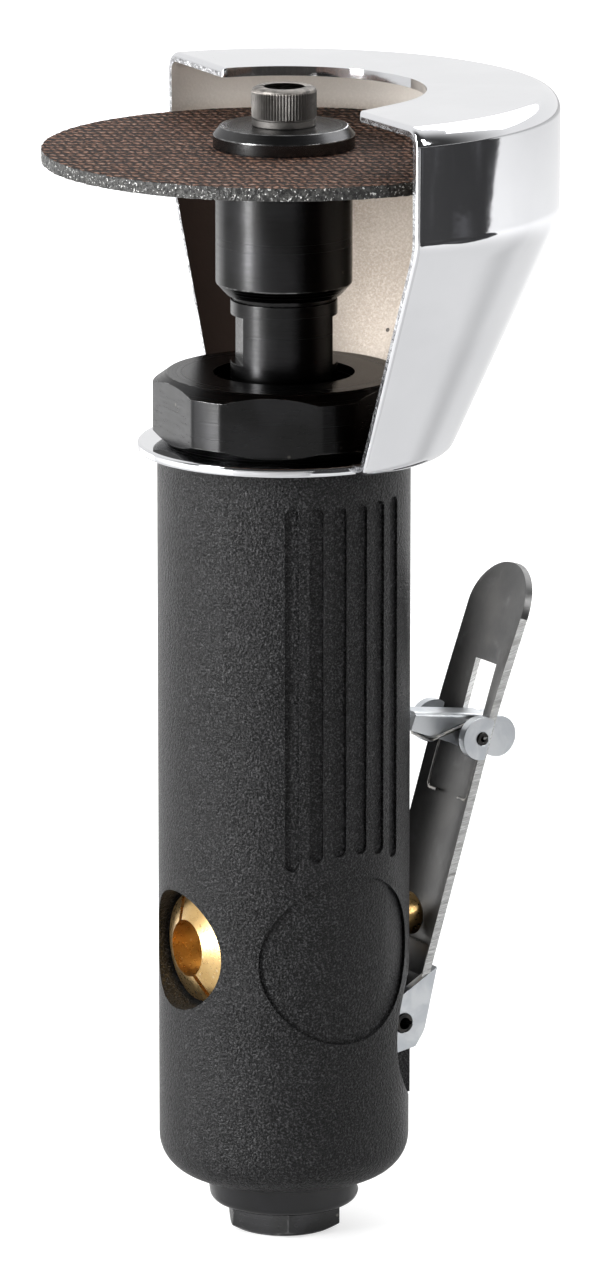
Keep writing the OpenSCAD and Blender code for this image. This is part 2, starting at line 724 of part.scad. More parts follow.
module inner_flange() {
    r = inner_flange_d / 2;
    low = spindle_shoulder + relief_h;
    color([0.15, 0.15, 0.16]) difference() {
        union() {
            bore(relief_r, spindle_shoulder, low + over);
            rotate_extrude() polygon([
                [0, low], [r - flange_chamfer, low], [r, low + flange_chamfer_h],
                [r, wheel_z], [0, wheel_z]
            ]);
            bore(wheel_bore_d / 2 - run_gap / 2, wheel_z - over, wheel_z + pilot_h);
        }
        bore(stub_r + seat_gap, spindle_shoulder - over, spindle_shoulder + stub_h + free_gap);
        bore(screw_r + screw_clear, spindle_shoulder, wheel_z + wheel_t);
    }
}

module cutting_wheel() {
    color([0.3, 0.22, 0.18]) tube(wheel_d / 2, wheel_bore_d / 2, wheel_z, wheel_z + wheel_t);
}

module outer_flange() {
    r = outer_flange_d / 2;
    chamfer_h = 1.4;
    chamfer_w = 1.1;
    color([0.14, 0.14, 0.15]) difference() {
        rotate_extrude() polygon([
            [0, outer_flange_z], [r, outer_flange_z], [r, screw_seat - chamfer_h],
            [r - chamfer_w, screw_seat], [0, screw_seat]
        ]);
        bore(screw_r + screw_clear, outer_flange_z - over, screw_seat + over);
    }
}

module cap_screw() {
    edge = 0.5;
    head_top = screw_seat + screw_d;
    color([0.32, 0.31, 0.3]) difference() {
        union() {
            rotate_extrude() polygon([
                [0, screw_seat], [screw_head_r, screw_seat], [screw_head_r, head_top - edge],
                [screw_head_r - edge, head_top], [0, head_top]
            ]);
            bore(screw_r, screw_seat - screw_length, screw_seat + over);
        }
        translate([0, 0, head_top - socket_depth])
            cylinder(d = socket_flats / cos(30), h = socket_depth + over, $fn = 6);
    }
}

module valve_bushing() {
    flow_r = 3;
    groove_low = bushing_seal_x - bushing_groove_half;
    groove_high = bushing_seal_x + bushing_groove_half;
    color([0.75, 0.6, 0.3]) difference() {
        along_plus_x(valve_z) difference() {
            bore(bushing_r, bushing_in, bushing_out);
            bore(guide_r + run_gap, bushing_in - over, bushing_out + over);
            bore(flow_r, bushing_in - over, guide_in);
            bore(plunger_r + run_gap, guide_out, bushing_out + over);
            tube(bushing_r + over, bushing_r - bushing_groove, groove_low, groove_high);
        }
        translate([air_way_x, 0, valve_z]) cylinder(r = bushing_port_r, h = bushing_d);
    }
}

module bushing_seal() {
    color([0.1, 0.1, 0.1]) along_plus_x(valve_z) translate([0, 0, bushing_seal_x])
        rotate_extrude() translate([bushing_r - bushing_seal_r, 0]) circle(bushing_seal_r);
}

module valve_stem() {
    head_in = guide_out + plunger_travel;
    head_out = plunger_tip - dome_h;
    color([0.78, 0.6, 0.3]) along_plus_x(valve_z) {
        bore(poppet_r, poppet_x, poppet_x + poppet_t);
        bore(stem_neck_r, poppet_x, guide_in - stem_land);
        bore(guide_r, guide_in - stem_land, head_in + over);
        bore(plunger_r, head_in, head_out);
        translate([0, 0, head_out]) intersection() {
            translate([0, 0, dome_h - dome_r]) sphere(dome_r);
            translate([0, 0, -over / 2]) cylinder(r = plunger_r, h = dome_h + over);
        }
    }
}

module valve_seal() {
    color([0.12, 0.12, 0.12]) along_plus_x(valve_z)
        tube(poppet_r, stem_neck_r + seat_gap, poppet_x + poppet_t, bushing_in - seal_rest);
}

// Route of the valve's spring, between the regulator and the poppet
valve_spring_ring = 16;
valve_spring_low = regulator_in + spring_wire / 2 + seal_rest;
valve_spring_high = poppet_x - spring_wire / 2 - seal_rest;
valve_spring_route = [
    for (i = [0:spring_turns * valve_spring_ring])
        let (a = 360 * i / valve_spring_ring, f = i / (spring_turns * valve_spring_ring))
        [
            valve_spring_low + f * (valve_spring_high - valve_spring_low),
            spring_coil_r * cos(a), valve_z + spring_coil_r * sin(a)
        ]
];

module valve_spring() { color([0.6, 0.6, 0.62]) wire(valve_spring_route, spring_wire / 2, [1, 0, 0]); }

module regulator() {
    port_r = 1.3;
    port_pos = [2, -1.6];
    port_depth = 2;
    slot = 1;
    driver_depth = 1.1;
    groove_r = regulator_stem_r - regulator_groove;
    groove_z = -regulator_seal_x;
    color([0.78, 0.6, 0.3]) along_minus_x(valve_z) difference() {
        rotate_extrude() polygon([
            [0, -regulator_in], [regulator_stem_r, -regulator_in],
            [regulator_stem_r, -regulator_shelf + run_gap], [regulator_r, -regulator_shelf + run_gap],
            [regulator_r, -regulator_rim],
            [recess_r, -regulator_face], [0, -regulator_face]
        ]);
        bore(recess_r, -regulator_face - regulator_recess_depth, -regulator_face + over);
        tube(regulator_stem_r + over, groove_r, groove_z - seal_r, groove_z + seal_r);
        rotate([0, 0, regulator_slot_turn])
            translate([-regulator_d, -slot / 2, -regulator_rim - driver_depth])
                cube([2 * regulator_d, slot, regulator_recess_depth]);
        translate([port_pos[0], port_pos[1], -regulator_face - regulator_recess_depth - port_depth])
            cylinder(r = port_r, h = regulator_recess_depth);
    }
}

module regulator_seal() {
    minor = regulator_groove / 2;
    color([0.1, 0.1, 0.1]) along_minus_x(valve_z) translate([0, 0, -regulator_seal_x])
        rotate_extrude() translate([regulator_stem_r - minor + seat_gap, 0]) circle(minor);
}

module inlet_bushing() {
    r = inlet_flats / 2 / cos(30);
    color([0.16, 0.16, 0.17]) difference() {
        union() {
            intersection() {
                rotate([0, 0, hex_turn]) cylinder(r = r, h = inlet_hex_h, $fn = 6);
                rotate_extrude() polygon([
                    [0, 0], [inlet_flats / 2 - 0.4, 0], [r, hex_chamfer], [r, inlet_hex_h], [0, inlet_hex_h]
                ]);
            }
            bore(barrel_r, inlet_hex_h - over, barrel_top);
        }
        bore(inlet_thread_d / 2, -over, inlet_thread_depth);
        bore(inlet_way_r, 0, barrel_top + over);
        tube(barrel_r + over, barrel_r - seal_r, inlet_groove_z - seal_r, inlet_groove_z + seal_r);
    }
}

module inlet_seal() {
    minor = seal_r / 2;
    color([0.1, 0.1, 0.1]) translate([0, 0, inlet_groove_z])
        rotate_extrude() translate([barrel_r - minor, 0]) circle(minor - seat_gap);
}

module inlet_screen() {
    gauze = 0.4;
    height = 7;
    r = inlet_way_r - seat_gap;
    color([0.7, 0.7, 0.68]) translate([0, 0, inlet_thread_depth + 0.5]) difference() {
        cylinder(r = r, h = height);
        translate([0, 0, -over]) cylinder(r = r - gauze, h = height - gauze + over);
    }
}

module exhaust_deflector() {
    low_r = deflector_r - deflector_taper;
    cavity_low = deflector_low + deflector_floor;
    cavity_in = barrel_r + run_gap + deflector_wall;
    reach = 2 * deflector_r;
    half = outlet_angle / 2;
    outlet_high = deflector_high - 0.9;
    color([0.12, 0.12, 0.13]) difference() {
        rotate_extrude() difference() {
            union() {
                polygon([
                    [0, deflector_low], [low_r - deflector_round, deflector_low],
                    [low_r, deflector_low + deflector_round],
                    [deflector_r, deflector_high], [0, deflector_high]
                ]);
                translate([low_r - deflector_round, deflector_low + deflector_round]) circle(deflector_round);
            }
            translate([-over, 0]) square([barrel_r + run_gap + over, housing_bottom]);
            translate([cavity_in, cavity_low])
                square([low_r - deflector_wall - cavity_in, deflector_high]);
        }
        translate([0, 0, cavity_low]) rotate([0, 0, outlet_turn]) linear_extrude(outlet_high - cavity_low)
            difference() {
                polygon([
                    [0, 0], reach * [cos(half), -sin(half)],
                    [reach, 0], reach * [cos(half), sin(half)]
                ]);
                circle(cavity_in + over);
            }
    }
}

module silencer_felt() {
    low = housing_bottom + felt_lift;
    color([0.5, 0.5, 0.46]) tube(exhaust_r - run_gap, barrel_r + run_gap, low, exhaust_top - seal_rest);
}

// Moves shapes from the lever's own frame into place
module lever_frame() { translate(lever_foot) rotate([0, lever_lean, 0]) children(); }

// Curved blade of the lever in its own frame, with its window and the gap beside the spring
module lever_blade() {
    half = lever_w / 2;
    arc_low = web_top - web_lap;
    relief = 2 * (ear_inside + run_gap);
    difference() {
        intersection() {
            translate([-lever_arc_r, 0, arc_low]) linear_extrude(lever_length - arc_low) difference() {
                circle(lever_arc_r);
                circle(lever_arc_r - lever_sheet);
            }
            rotate([90, 0, 90]) linear_extrude(2 * lever_arc_r, center = true) {
                translate([-half, arc_low]) square([lever_w, lever_length - half - arc_low]);
                translate([0, lever_length - half]) circle(half);
            }
            translate([-lever_arc_r, -half, 2 * web_bottom])
                cube([2 * lever_arc_r, lever_w, 2 * lever_length]);
        }
        translate([-lever_arc_r / 2, -window_w / 2, window_low])
            cube([lever_arc_r, window_w, window_high - window_low]);
        translate([-lever_arc_r / 2, -relief / 2, pin_local[1] - spring_relief])
            cube([lever_arc_r, relief, 2 * spring_relief]);
    }
}

module throttle_lever() {
    color([0.45, 0.45, 0.46]) difference() {
        union() {
            lever_frame() lever_blade();
            lever_frame() translate([web_offset - lever_sheet, -lever_w / 2, web_bottom])
                cube([lever_sheet, lever_w, web_top - web_bottom]);
            for (s = [-1, 1]) {
                y0 = s > 0 ? ear_inside : -ear_outside;
                upright_plate(y0, y0 + ear_outside - ear_inside) lever_ear();
                upright_plate(y0, y0 + ear_outside - ear_inside) latch_tab();
            }
        }
        translate([pivot_x, 0, pivot_z]) rotate([90, 0, 0])
            cylinder(r = pivot_r + run_gap, h = 2 * lever_w, center = true);
        translate([latch_x, 0, latch_z]) rotate([90, 0, 0])
            cylinder(r = pin_r + seat_gap, h = 2 * lever_w, center = true);
    }
}

// A point of the lever's frame as x and z of the tool
function lever_point(x, z) = [
    lever_foot[0] + x * cos(lever_lean) + z * sin(lever_lean),
    lever_foot[2] - x * sin(lever_lean) + z * cos(lever_lean)
];

// Outline of one ear that hangs on the pivot pin
module lever_ear() {
    foot = (ear_bottom - lever_foot[2]) / cos(lever_lean);
    front = web_offset - ear_set_back;
    polygon([
        lever_point(front, web_top - ear_set_back), lever_point(front, foot),
        [pivot_x - ear_round * 0.7, ear_bottom], [pivot_x - ear_round, pivot_z],
        [pivot_x - ear_round * 0.8, pivot_z + ear_round]
    ]);
    translate([pivot_x, pivot_z]) circle(ear_round);
}

// Outline of one round tab that holds the latch's pin
module latch_tab() {
    high = pin_local[1] + tab_r;
    low = pin_local[1] - tab_r;
    intersection() {
        translate([latch_x, latch_z]) circle(tab_r);
        polygon([
            lever_point(tab_cut, high), lever_point(tab_cut, low),
            lever_point(tab_cut - 4 * tab_r, low), lever_point(tab_cut - 4 * tab_r, high)
        ]);
    }
}

module lever_pivot_pin() {
    color([0.35, 0.35, 0.36]) translate([pivot_x, 0, pivot_z]) rotate([90, 0, 0])
        roll_pin(pivot_r, lever_w + 2 * pin_proud);
}

module latch_pin() {
    color([0.3, 0.3, 0.31]) translate([latch_x, 0, latch_z]) rotate([90, 0, 0])
        roll_pin(pin_r, lever_w + 2 * pin_proud);
}

// Outline of a latch cheek, in x and z from the pin
module latch_cheek() {
    polygon([latch_tip, latch_tip_top, latch_heel, latch_thumb, [0, -latch_eye_r], latch_low]);
    circle(latch_eye_r);
    translate(latch_thumb) circle(thumb_r);
}

module latch() {
    drop = [0, -latch_sheet];
    color([0.72, 0.73, 0.74]) translate([latch_x, 0, latch_z]) difference() {
        union() {
            for (y = [-latch_w / 2, latch_w / 2 - latch_sheet])
                upright_plate(y, y + latch_sheet) latch_cheek();
            upright_plate(-latch_w / 2, latch_w / 2)
                polygon([latch_tip_top, latch_heel, latch_heel + drop, latch_tip_top + drop]);
        }
        rotate([90, 0, 0]) cylinder(r = pin_r + run_gap, h = 2 * latch_w, center = true);
    }
}

// Route of the latch's spring from its middle to one foot: cross bar, arm, coil, leg and foot
coil_ring = 8;
loop_leave = 109;                           // where the arm to the cross bar leaves the coil
coil_sweep = 360 * latch_turns + loop_leave + lever_lean;
coil_steps = ceil(coil_sweep / 360 * coil_ring);
coil_far_y = coil_y + coil_pitch * coil_sweep / 360;
leg_face = -lever_arc_r + sqrt(pow(lever_arc_r - lever_sheet, 2) - coil_far_y * coil_far_y);
leg_x = leg_face - latch_wire / 2 - 0.12;

function spring_leg(x, down, y) =
    let (p = lever_point(x, pin_local[1] - down)) [p[0], y, p[1]];

function spring_half(s) = concat(
    [
        [latch_x + loop_x, 0, latch_z + loop_z],
        [latch_x + loop_x, s * (coil_y - 0.8), latch_z + loop_z],
        [latch_x + loop_x + 0.3, s * (coil_y - 0.15), latch_z + loop_z + 0.1],
        [latch_x + loop_x + 1, s * coil_y, latch_z + loop_z + 0.35]
    ],
    [
        for (i = [0:coil_steps])
            let (f = i / coil_steps, a = loop_leave - f * coil_sweep)
            [
                latch_x + coil_r * cos(a),
                s * (coil_y + f * (coil_far_y - coil_y)),
                latch_z + coil_r * sin(a)
            ]
    ],
    [
        spring_leg(leg_x + 0.2, 1.2, s * coil_far_y),
        spring_leg(leg_x, 1.9, s * coil_far_y),
        spring_leg(leg_x, leg_length - 0.6, s * coil_far_y),
        spring_leg(leg_x, leg_length, s * (coil_far_y - 0.5)),
        spring_leg(leg_x, leg_length, s * (coil_far_y - foot_length))
    ]
);

function reversed(p) = [for (i = [len(p) - 1:-1:1]) p[i]];

latch_spring_route = concat(reversed(spring_half(-1)), spring_half(1));
echo(latch_spring_gap = route_gap(latch_spring_route, 5) - latch_wire);
echo(valve_spring_gap = route_gap(valve_spring_route, valve_spring_ring / 2) - spring_wire);

module latch_spring() { color([0.5, 0.48, 0.44]) wire(latch_spring_route, latch_wire / 2, [1, 0, 0]); }

housing();
clamp_nut();
wheel_guard();
motor_cylinder();
front_end_plate();
rear_end_plate();
cylinder_dowel();
motor_gasket();
front_bearing_outer();
front_bearing_balls();
front_bearing_inner();
rear_bearing_outer();
rear_bearing_balls();
rear_bearing_inner();
rotor();
rotor_vanes();
spindle();
inner_flange();
cutting_wheel();
outer_flange();
cap_screw();
valve_bushing();
bushing_seal();
valve_stem();
valve_seal();
valve_spring();
regulator();
regulator_seal();
inlet_bushing();
inlet_seal();
inlet_screen();
exhaust_deflector();
silencer_felt();
throttle_lever();
lever_pivot_pin();
latch();
latch_pin();
latch_spring();
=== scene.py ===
# %% [markdown]
# # Dressing an air-driven cut off tool
#
# The tool is a round grip with a small vane motor inside, a squeeze lever with a safety latch,
# and a thin abrasive wheel under a chromed half guard. Its working solids come from a CAD model.
# In this lesson they get their surfaces: softened edges, a gritty black coat, chrome, brass,
# turned steel and woven abrasive.

# %% Load the frame
import json
import math

import bmesh
import bpy
from mathutils import Matrix, Vector, noise


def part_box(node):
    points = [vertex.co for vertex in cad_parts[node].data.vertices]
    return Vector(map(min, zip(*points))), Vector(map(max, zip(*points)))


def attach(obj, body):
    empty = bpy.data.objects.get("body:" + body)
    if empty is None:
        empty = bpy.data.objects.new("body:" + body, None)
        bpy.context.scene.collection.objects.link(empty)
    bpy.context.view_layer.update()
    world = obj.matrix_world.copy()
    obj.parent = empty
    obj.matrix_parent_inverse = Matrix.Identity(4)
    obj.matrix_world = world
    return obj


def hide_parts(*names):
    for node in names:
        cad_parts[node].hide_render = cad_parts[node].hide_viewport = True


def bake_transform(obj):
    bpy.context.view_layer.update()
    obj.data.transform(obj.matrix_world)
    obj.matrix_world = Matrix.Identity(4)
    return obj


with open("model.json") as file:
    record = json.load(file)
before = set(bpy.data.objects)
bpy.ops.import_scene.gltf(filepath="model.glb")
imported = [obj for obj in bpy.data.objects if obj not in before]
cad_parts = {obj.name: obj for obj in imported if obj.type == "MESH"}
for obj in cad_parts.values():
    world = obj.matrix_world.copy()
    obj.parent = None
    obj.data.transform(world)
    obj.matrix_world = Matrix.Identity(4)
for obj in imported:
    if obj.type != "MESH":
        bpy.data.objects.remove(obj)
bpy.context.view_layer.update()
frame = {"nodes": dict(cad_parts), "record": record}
MM = 0.001
scene = bpy.context.scene
scene.view_settings.view_transform = "Standard"

# %% [markdown]
# ## Camera
#
# A product photograph of a tool this long is taken from far away with a long lens, which keeps
# its sides nearly parallel. The camera stands to the left of the lever and looks down a little.
# A small lens shift puts the tool where the photograph has it, with no tilt of the picture.

# %% Camera
IMAGE_HEIGHT = 1280
SENSOR = 36.0
FOCAL_PIXELS = 8080
VIEW_TURN = math.radians(31.5)
VIEW_PITCH = math.radians(13.2)
CAMERA_DISTANCE = 1230 * MM
CAMERA_HEIGHT = 383 * MM
AXIS_OFF_CENTRE = (17.5, 2.3)                       # pixels from the picture's middle
toward_camera = Vector((-math.sin(VIEW_TURN), -math.cos(VIEW_TURN), 0))
camera_right = Vector((math.cos(VIEW_TURN), -math.sin(VIEW_TURN), 0))

camera_data = bpy.data.cameras.new("camera")
camera_data.sensor_fit = "VERTICAL"
camera_data.sensor_height = SENSOR
camera_data.lens = FOCAL_PIXELS / IMAGE_HEIGHT * SENSOR
camera_data.shift_x = AXIS_OFF_CENTRE[0] / IMAGE_HEIGHT
camera_data.shift_y = AXIS_OFF_CENTRE[1] / IMAGE_HEIGHT
camera_data.clip_start = 0.01
camera = bpy.data.objects.new("camera", camera_data)
scene.collection.objects.link(camera)
camera.location = CAMERA_DISTANCE * toward_camera + Vector((0, 0, CAMERA_HEIGHT))
camera.rotation_euler = (math.pi / 2 - VIEW_PITCH, 0, -VIEW_TURN)
scene.camera = camera
print("camera:", round(camera_data.lens), "mm lens at", [round(c, 3) for c in camera.location])

# %% [markdown]
# ## Studio
#
# Chrome and black steel show the room more than themselves, so the lights are large soft boxes
# placed where the highlights lie: one far to the left, a wide one to the right that whitens the
# guard, a narrow one to the right and one overhead, which reflections don't see. The room is
# bright behind the tool and dark on the camera's side, and that gives the chrome its dark patch.

# %% Lights
AIM_HEIGHT = 100 * MM


def soft_box(name, turn, elevation, distance, size, power):
    """Area light at an angle to the right of the camera, aimed at the middle of the tool."""
    turn, elevation = math.radians(turn), math.radians(elevation)
    flat = toward_camera * math.cos(turn) + camera_right * math.sin(turn)
    direction = flat * math.cos(elevation) + Vector((0, 0, math.sin(elevation)))
    light = bpy.data.lights.new(name, "AREA")
    light.shape = "RECTANGLE"
    light.size, light.size_y = size
    light.energy = power
    lamp = bpy.data.objects.new(name, light)
    scene.collection.objects.link(lamp)
    lamp.location = direction * distance + Vector((0, 0, AIM_HEIGHT))
    lamp.rotation_euler = direction.to_track_quat("Z", "Y").to_euler()
    return lamp


soft_box("left box", -62, 12, 1.0, (0.22, 1.1), 26)
soft_box("right box", 138, 42, 1.0, (1.2, 0.6), 5)
soft_box("front strip", 58, 25, 1.5, (0.2, 0.7), 7)
soft_box("top box", 15, 78, 1.1, (1.0, 0.8), 2.5).visible_glossy = False

world = bpy.data.worlds.new("studio")
scene.world = world
world.use_nodes = True
print("studio:", len(bpy.data.lights), "soft boxes")

# %% [markdown]
# ## Node helpers and shared effects
#
# Most finishes need the same few effects: fine grain, cloudy patches, scattered specks, the rings
# that a lathe leaves, the net of the wheel and the lines that shears leave. Each is a node group,
# built once and reused with its own values.
# They all read Object coordinates, so a pattern stays on the metal when a piece moves.

# %% Node helpers


def wire_up(tree, kind, links=None, **settings):
    """New node with its properties, input values and incoming links set."""
    n = tree.nodes.new("ShaderNode" + kind)
    for key, value in settings.items():
        setattr(n, key, value)
    for socket, source in (links or {}).items():
        if isinstance(source, bpy.types.NodeSocket):
            tree.links.new(source, n.inputs[socket])
        else:
            n.inputs[socket].default_value = source
    return n


def math_node(tree, operation, a, b=0.0):
    return wire_up(tree, "Math", {0: a, 1: b}, operation=operation).outputs[0]


def ramp(tree, value, low, high):
    """0 below low, 1 above high, smooth between."""
    n = wire_up(tree, "MapRange", {"Value": value, "From Min": low, "From Max": high},
                interpolation_type="SMOOTHSTEP")
    return n.outputs["Result"]


def mix_colours(tree, factor, a, b):
    n = tree.nodes.new("ShaderNodeMix")
    n.data_type = "RGBA"
    for socket, source in ((n.inputs[0], factor), (n.inputs[6], a), (n.inputs[7], b)):
        if isinstance(source, bpy.types.NodeSocket):
            tree.links.new(source, socket)
        else:
            socket.default_value = (*source, 1) if isinstance(source, tuple) else source
    return n.outputs[2]


def new_group(name, inputs, outputs):
    """Empty shader group with float inputs and outputs; returns the tree and its two end nodes."""
    tree = bpy.data.node_groups.new(name, "ShaderNodeTree")
    for label, default in inputs.items():
        socket = tree.interface.new_socket(label, in_out="INPUT", socket_type="NodeSocketFloat")
        socket.default_value = default
    for label in outputs:
        tree.interface.new_socket(label, in_out="OUTPUT", socket_type="NodeSocketFloat")
    return tree, tree.nodes.new("NodeGroupInput"), tree.nodes.new("NodeGroupOutput")


def object_coordinates(tree):
    return tree.nodes.new("ShaderNodeTexCoord").outputs["Object"]


# %% Room
ROOM_FRONT, ROOM_BACK = 0.05, 0.97
ROOM_BLEND = 0.35                                   # how far the change reaches to either side
room = world.node_tree
toward = wire_up(room, "VectorMath", {0: room.nodes.new("ShaderNodeTexCoord").outputs["Generated"],
                                      1: toward_camera}, operation="DOT_PRODUCT")
fade = wire_up(room, "MapRange", {"Value": toward.outputs["Value"], "From Min": ROOM_BLEND,
                                  "From Max": -ROOM_BLEND, "To Min": ROOM_FRONT, "To Max": ROOM_BACK},
               interpolation_type="SMOOTHSTEP")
room.links.new(fade.outputs[0], room.nodes["Background"].inputs["Strength"])
room.nodes["Background"].inputs["Color"].default_value = (1, 1, 1, 1)
print("room:", ROOM_FRONT, "in front to", ROOM_BACK, "behind")

# %% Shared effects
LEVER_LEAN = math.radians(17)
grain, ends, out = new_group("Fine grain", {"Scale": 3000, "Detail": 3}, ["Height"])
n = wire_up(grain, "TexNoise", {"Vector": object_coordinates(grain), "Scale": ends.outputs["Scale"],
                                "Detail": ends.outputs["Detail"], "Roughness": 0.6})
grain.links.new(n.outputs[0], out.inputs["Height"])

patches, ends, out = new_group("Cloudy patches", {"Scale": 60, "Low": 0.4, "High": 0.65}, ["Mask"])
n = wire_up(patches, "TexNoise", {"Vector": object_coordinates(patches), "Scale": ends.outputs["Scale"],
                                  "Detail": 4, "Distortion": 0.4})
mask = ramp(patches, n.outputs[0], ends.outputs["Low"], ends.outputs["High"])
patches.links.new(mask, out.inputs["Mask"])

specks, ends, out = new_group("Specks", {"Scale": 1500, "Size": 0.25, "Share": 0.3}, ["Mask"])
n = wire_up(specks, "TexVoronoi", {"Vector": object_coordinates(specks), "Scale": ends.outputs["Scale"]})
near = math_node(specks, "LESS_THAN", n.outputs["Distance"], ends.outputs["Size"])
parts = wire_up(specks, "SeparateColor", {0: n.outputs["Color"]})
chosen = math_node(specks, "LESS_THAN", parts.outputs[0], ends.outputs["Share"])
specks.links.new(math_node(specks, "MULTIPLY", near, chosen), out.inputs["Mask"])

rings, ends, out = new_group("Turning rings", {"Scale": 2500}, ["Height"])
place = wire_up(rings, "SeparateXYZ", {0: object_coordinates(rings)})
square = math_node(rings, "ADD", math_node(rings, "POWER", place.outputs[0], 2),
                   math_node(rings, "POWER", place.outputs[1], 2))
radius = math_node(rings, "SQRT", square)
across = wire_up(rings, "CombineXYZ", {"X": radius, "Z": place.outputs[2]}).outputs[0]
n = wire_up(rings, "TexNoise", {"Vector": across, "Scale": ends.outputs["Scale"], "Detail": 2})
rings.links.new(n.outputs[0], out.inputs["Height"])

weave, ends, out = new_group("Corded net", {"Along": 0.0014, "Across": 0.0026, "Turn": 0.55}, ["Height"])
turned = wire_up(weave, "VectorRotate", {"Vector": object_coordinates(weave), "Angle": ends.outputs["Turn"]},
                 rotation_type="Z_AXIS")
drift = wire_up(weave, "TexNoise", {"Vector": turned.outputs[0], "Scale": 760, "Detail": 3})
sway = wire_up(weave, "VectorMath", {0: drift.outputs["Color"], "Scale": 0.0026}, operation="SCALE")
swayed = wire_up(weave, "VectorMath", {0: turned.outputs[0], 1: sway.outputs[0]}, operation="ADD")
place = wire_up(weave, "SeparateXYZ", {0: swayed.outputs[0]})
row = math_node(weave, "DIVIDE", place.outputs[1], ends.outputs["Across"])
step = math_node(weave, "MULTIPLY", math_node(weave, "FLOOR", row), 0.5)
slant = math_node(weave, "MULTIPLY", math_node(weave, "FRACT", row), 0.8)
strand = math_node(weave, "DIVIDE", place.outputs[0], ends.outputs["Along"])
strand = math_node(weave, "ADD", math_node(weave, "ADD", strand, step), slant)
swell = [math_node(weave, "ABSOLUTE", math_node(weave, "SINE", math_node(weave, "MULTIPLY", t, math.pi)))
         for t in (strand, row)]
weave.links.new(math_node(weave, "MULTIPLY", *swell), out.inputs["Height"])

shear, ends, out = new_group("Shear lines", {"Scale": 2500, "Lean": LEVER_LEAN}, ["Height"])
turned = wire_up(shear, "VectorRotate", {"Vector": object_coordinates(shear), "Angle": ends.outputs["Lean"]},
                 rotation_type="Y_AXIS")
along = wire_up(shear, "VectorMath", {0: turned.outputs[0], 1: (0.08, 0.08, 1)}, operation="MULTIPLY")
n = wire_up(shear, "TexNoise", {"Vector": along.outputs[0], "Scale": ends.outputs["Scale"], "Detail": 2})
shear.links.new(n.outputs[0], out.inputs["Height"])
print("effects:", [g.name for g in bpy.data.node_groups])


# %% Material helpers


class Finish:
    """A material under construction: its tree, its shader and shortcuts to the shared effects."""

    def __init__(self, name, metallic=0.0, roughness=0.5, **sockets):
        self.material = bpy.data.materials.new(name)
        self.material.use_nodes = True
        self.tree = self.material.node_tree
        self.shader = self.tree.nodes["Principled BSDF"]
        self.set("Metallic", metallic)
        self.set("Roughness", roughness)
        for socket, value in sockets.items():
            self.set(socket.replace("_", " "), value)

    def set(self, socket, value):
        if isinstance(value, bpy.types.NodeSocket):
            self.tree.links.new(value, self.shader.inputs[socket])
        else:
            self.shader.inputs[socket].default_value = value

    def effect(self, group, **values):
        n = self.tree.nodes.new("ShaderNodeGroup")
        n.node_tree = group
        for label, value in values.items():
            n.inputs[label].default_value = value
        return n.outputs[0]

    def colour(self, *layers):
        """Base colour from (mask, colour) layers; the first has no mask."""
        below = layers[0]
        for mask, over in layers[1:]:
            below = mix_colours(self.tree, mask, below, over)
        if isinstance(below, tuple):
            below = (*below, 1)
        self.set("Base Color", below)

    def roughen(self, mask, low, high):
        n = wire_up(self.tree, "MapRange", {"Value": mask, "To Min": low, "To Max": high})
        self.set("Roughness", n.outputs[0])

    def bump(self, *heights):
        """Normal from (height, depth in metres) pairs, one Bump node feeding the next."""
        normal = None
        for height, depth in heights:
            n = wire_up(self.tree, "Bump", {"Height": height, "Distance": depth, "Strength": 1.0})
            if normal:
                self.tree.links.new(normal, n.inputs["Normal"])
            normal = n.outputs[0]
        self.set("Normal", normal)

    def edges(self):
        """Mask of the small faces that a bevel made, where a coat wears through."""
        return wire_up(self.tree, "Attribute", attribute_name="edge").outputs["Fac"]

    def product(self, a, b):
        return math_node(self.tree, "MULTIPLY", a, b)


# %% [markdown]
# ## Finishes
#
# Each finish is written from what the metal went through: the grip is cast and sprayed with a
# grainy coat, the spindle parts are turned and blackened, the guard is pressed and plated, the
# lever is sheared from sheet. Colours vary a little everywhere, and roughness varies with them.

# %% Finishes of the parts that show
WHEEL_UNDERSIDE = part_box("cutting_wheel")[0].z
# The guard's inside gets painted shade below the wheel on one side and painted light above it.
PAINTED_SHADE_SIDE = (26 * MM, 12 * MM)                      # across the tool, where the painted shade begins and is full
PAINTED_SHADE_DEPTH, PAINTED_LIGHT_HEIGHT = 8 * MM, 4 * MM           # below and above the wheel's underside


def grip_coat():
    f = Finish("grip coat", roughness=0.5, Specular_IOR_Level=0.2)
    cloud = f.effect(patches, Scale=90)
    # Lighter specks on the grain are painted glints, standing in for the coat's sparkle.
    painted_glint = ramp(f.tree, f.effect(grain, Scale=3200, Detail=2), 0.45, 0.75)
    f.colour((0.003, 0.003, 0.0032), (cloud, (0.005, 0.005, 0.0054)), (painted_glint, (0.056, 0.056, 0.058)))
    f.roughen(f.effect(grain, Scale=2000, Detail=2), 0.22, 0.4)
    f.bump((f.effect(grain, Scale=2300, Detail=2), 0.0003),
           (f.effect(grain, Scale=4200, Detail=1), 0.00014))
    return f.material


def chrome():
    f = Finish("chrome", metallic=1.0)
    cloud = f.effect(patches, Scale=45)
    f.colour((0.74, 0.745, 0.765), (cloud, (0.78, 0.785, 0.805)))
    f.roughen(f.effect(patches, Scale=140, Low=0.3, High=0.8), 0.04, 0.07)
    f.bump((f.effect(patches, Scale=55, Low=0.1, High=0.9), 0.00003))
    return f.material


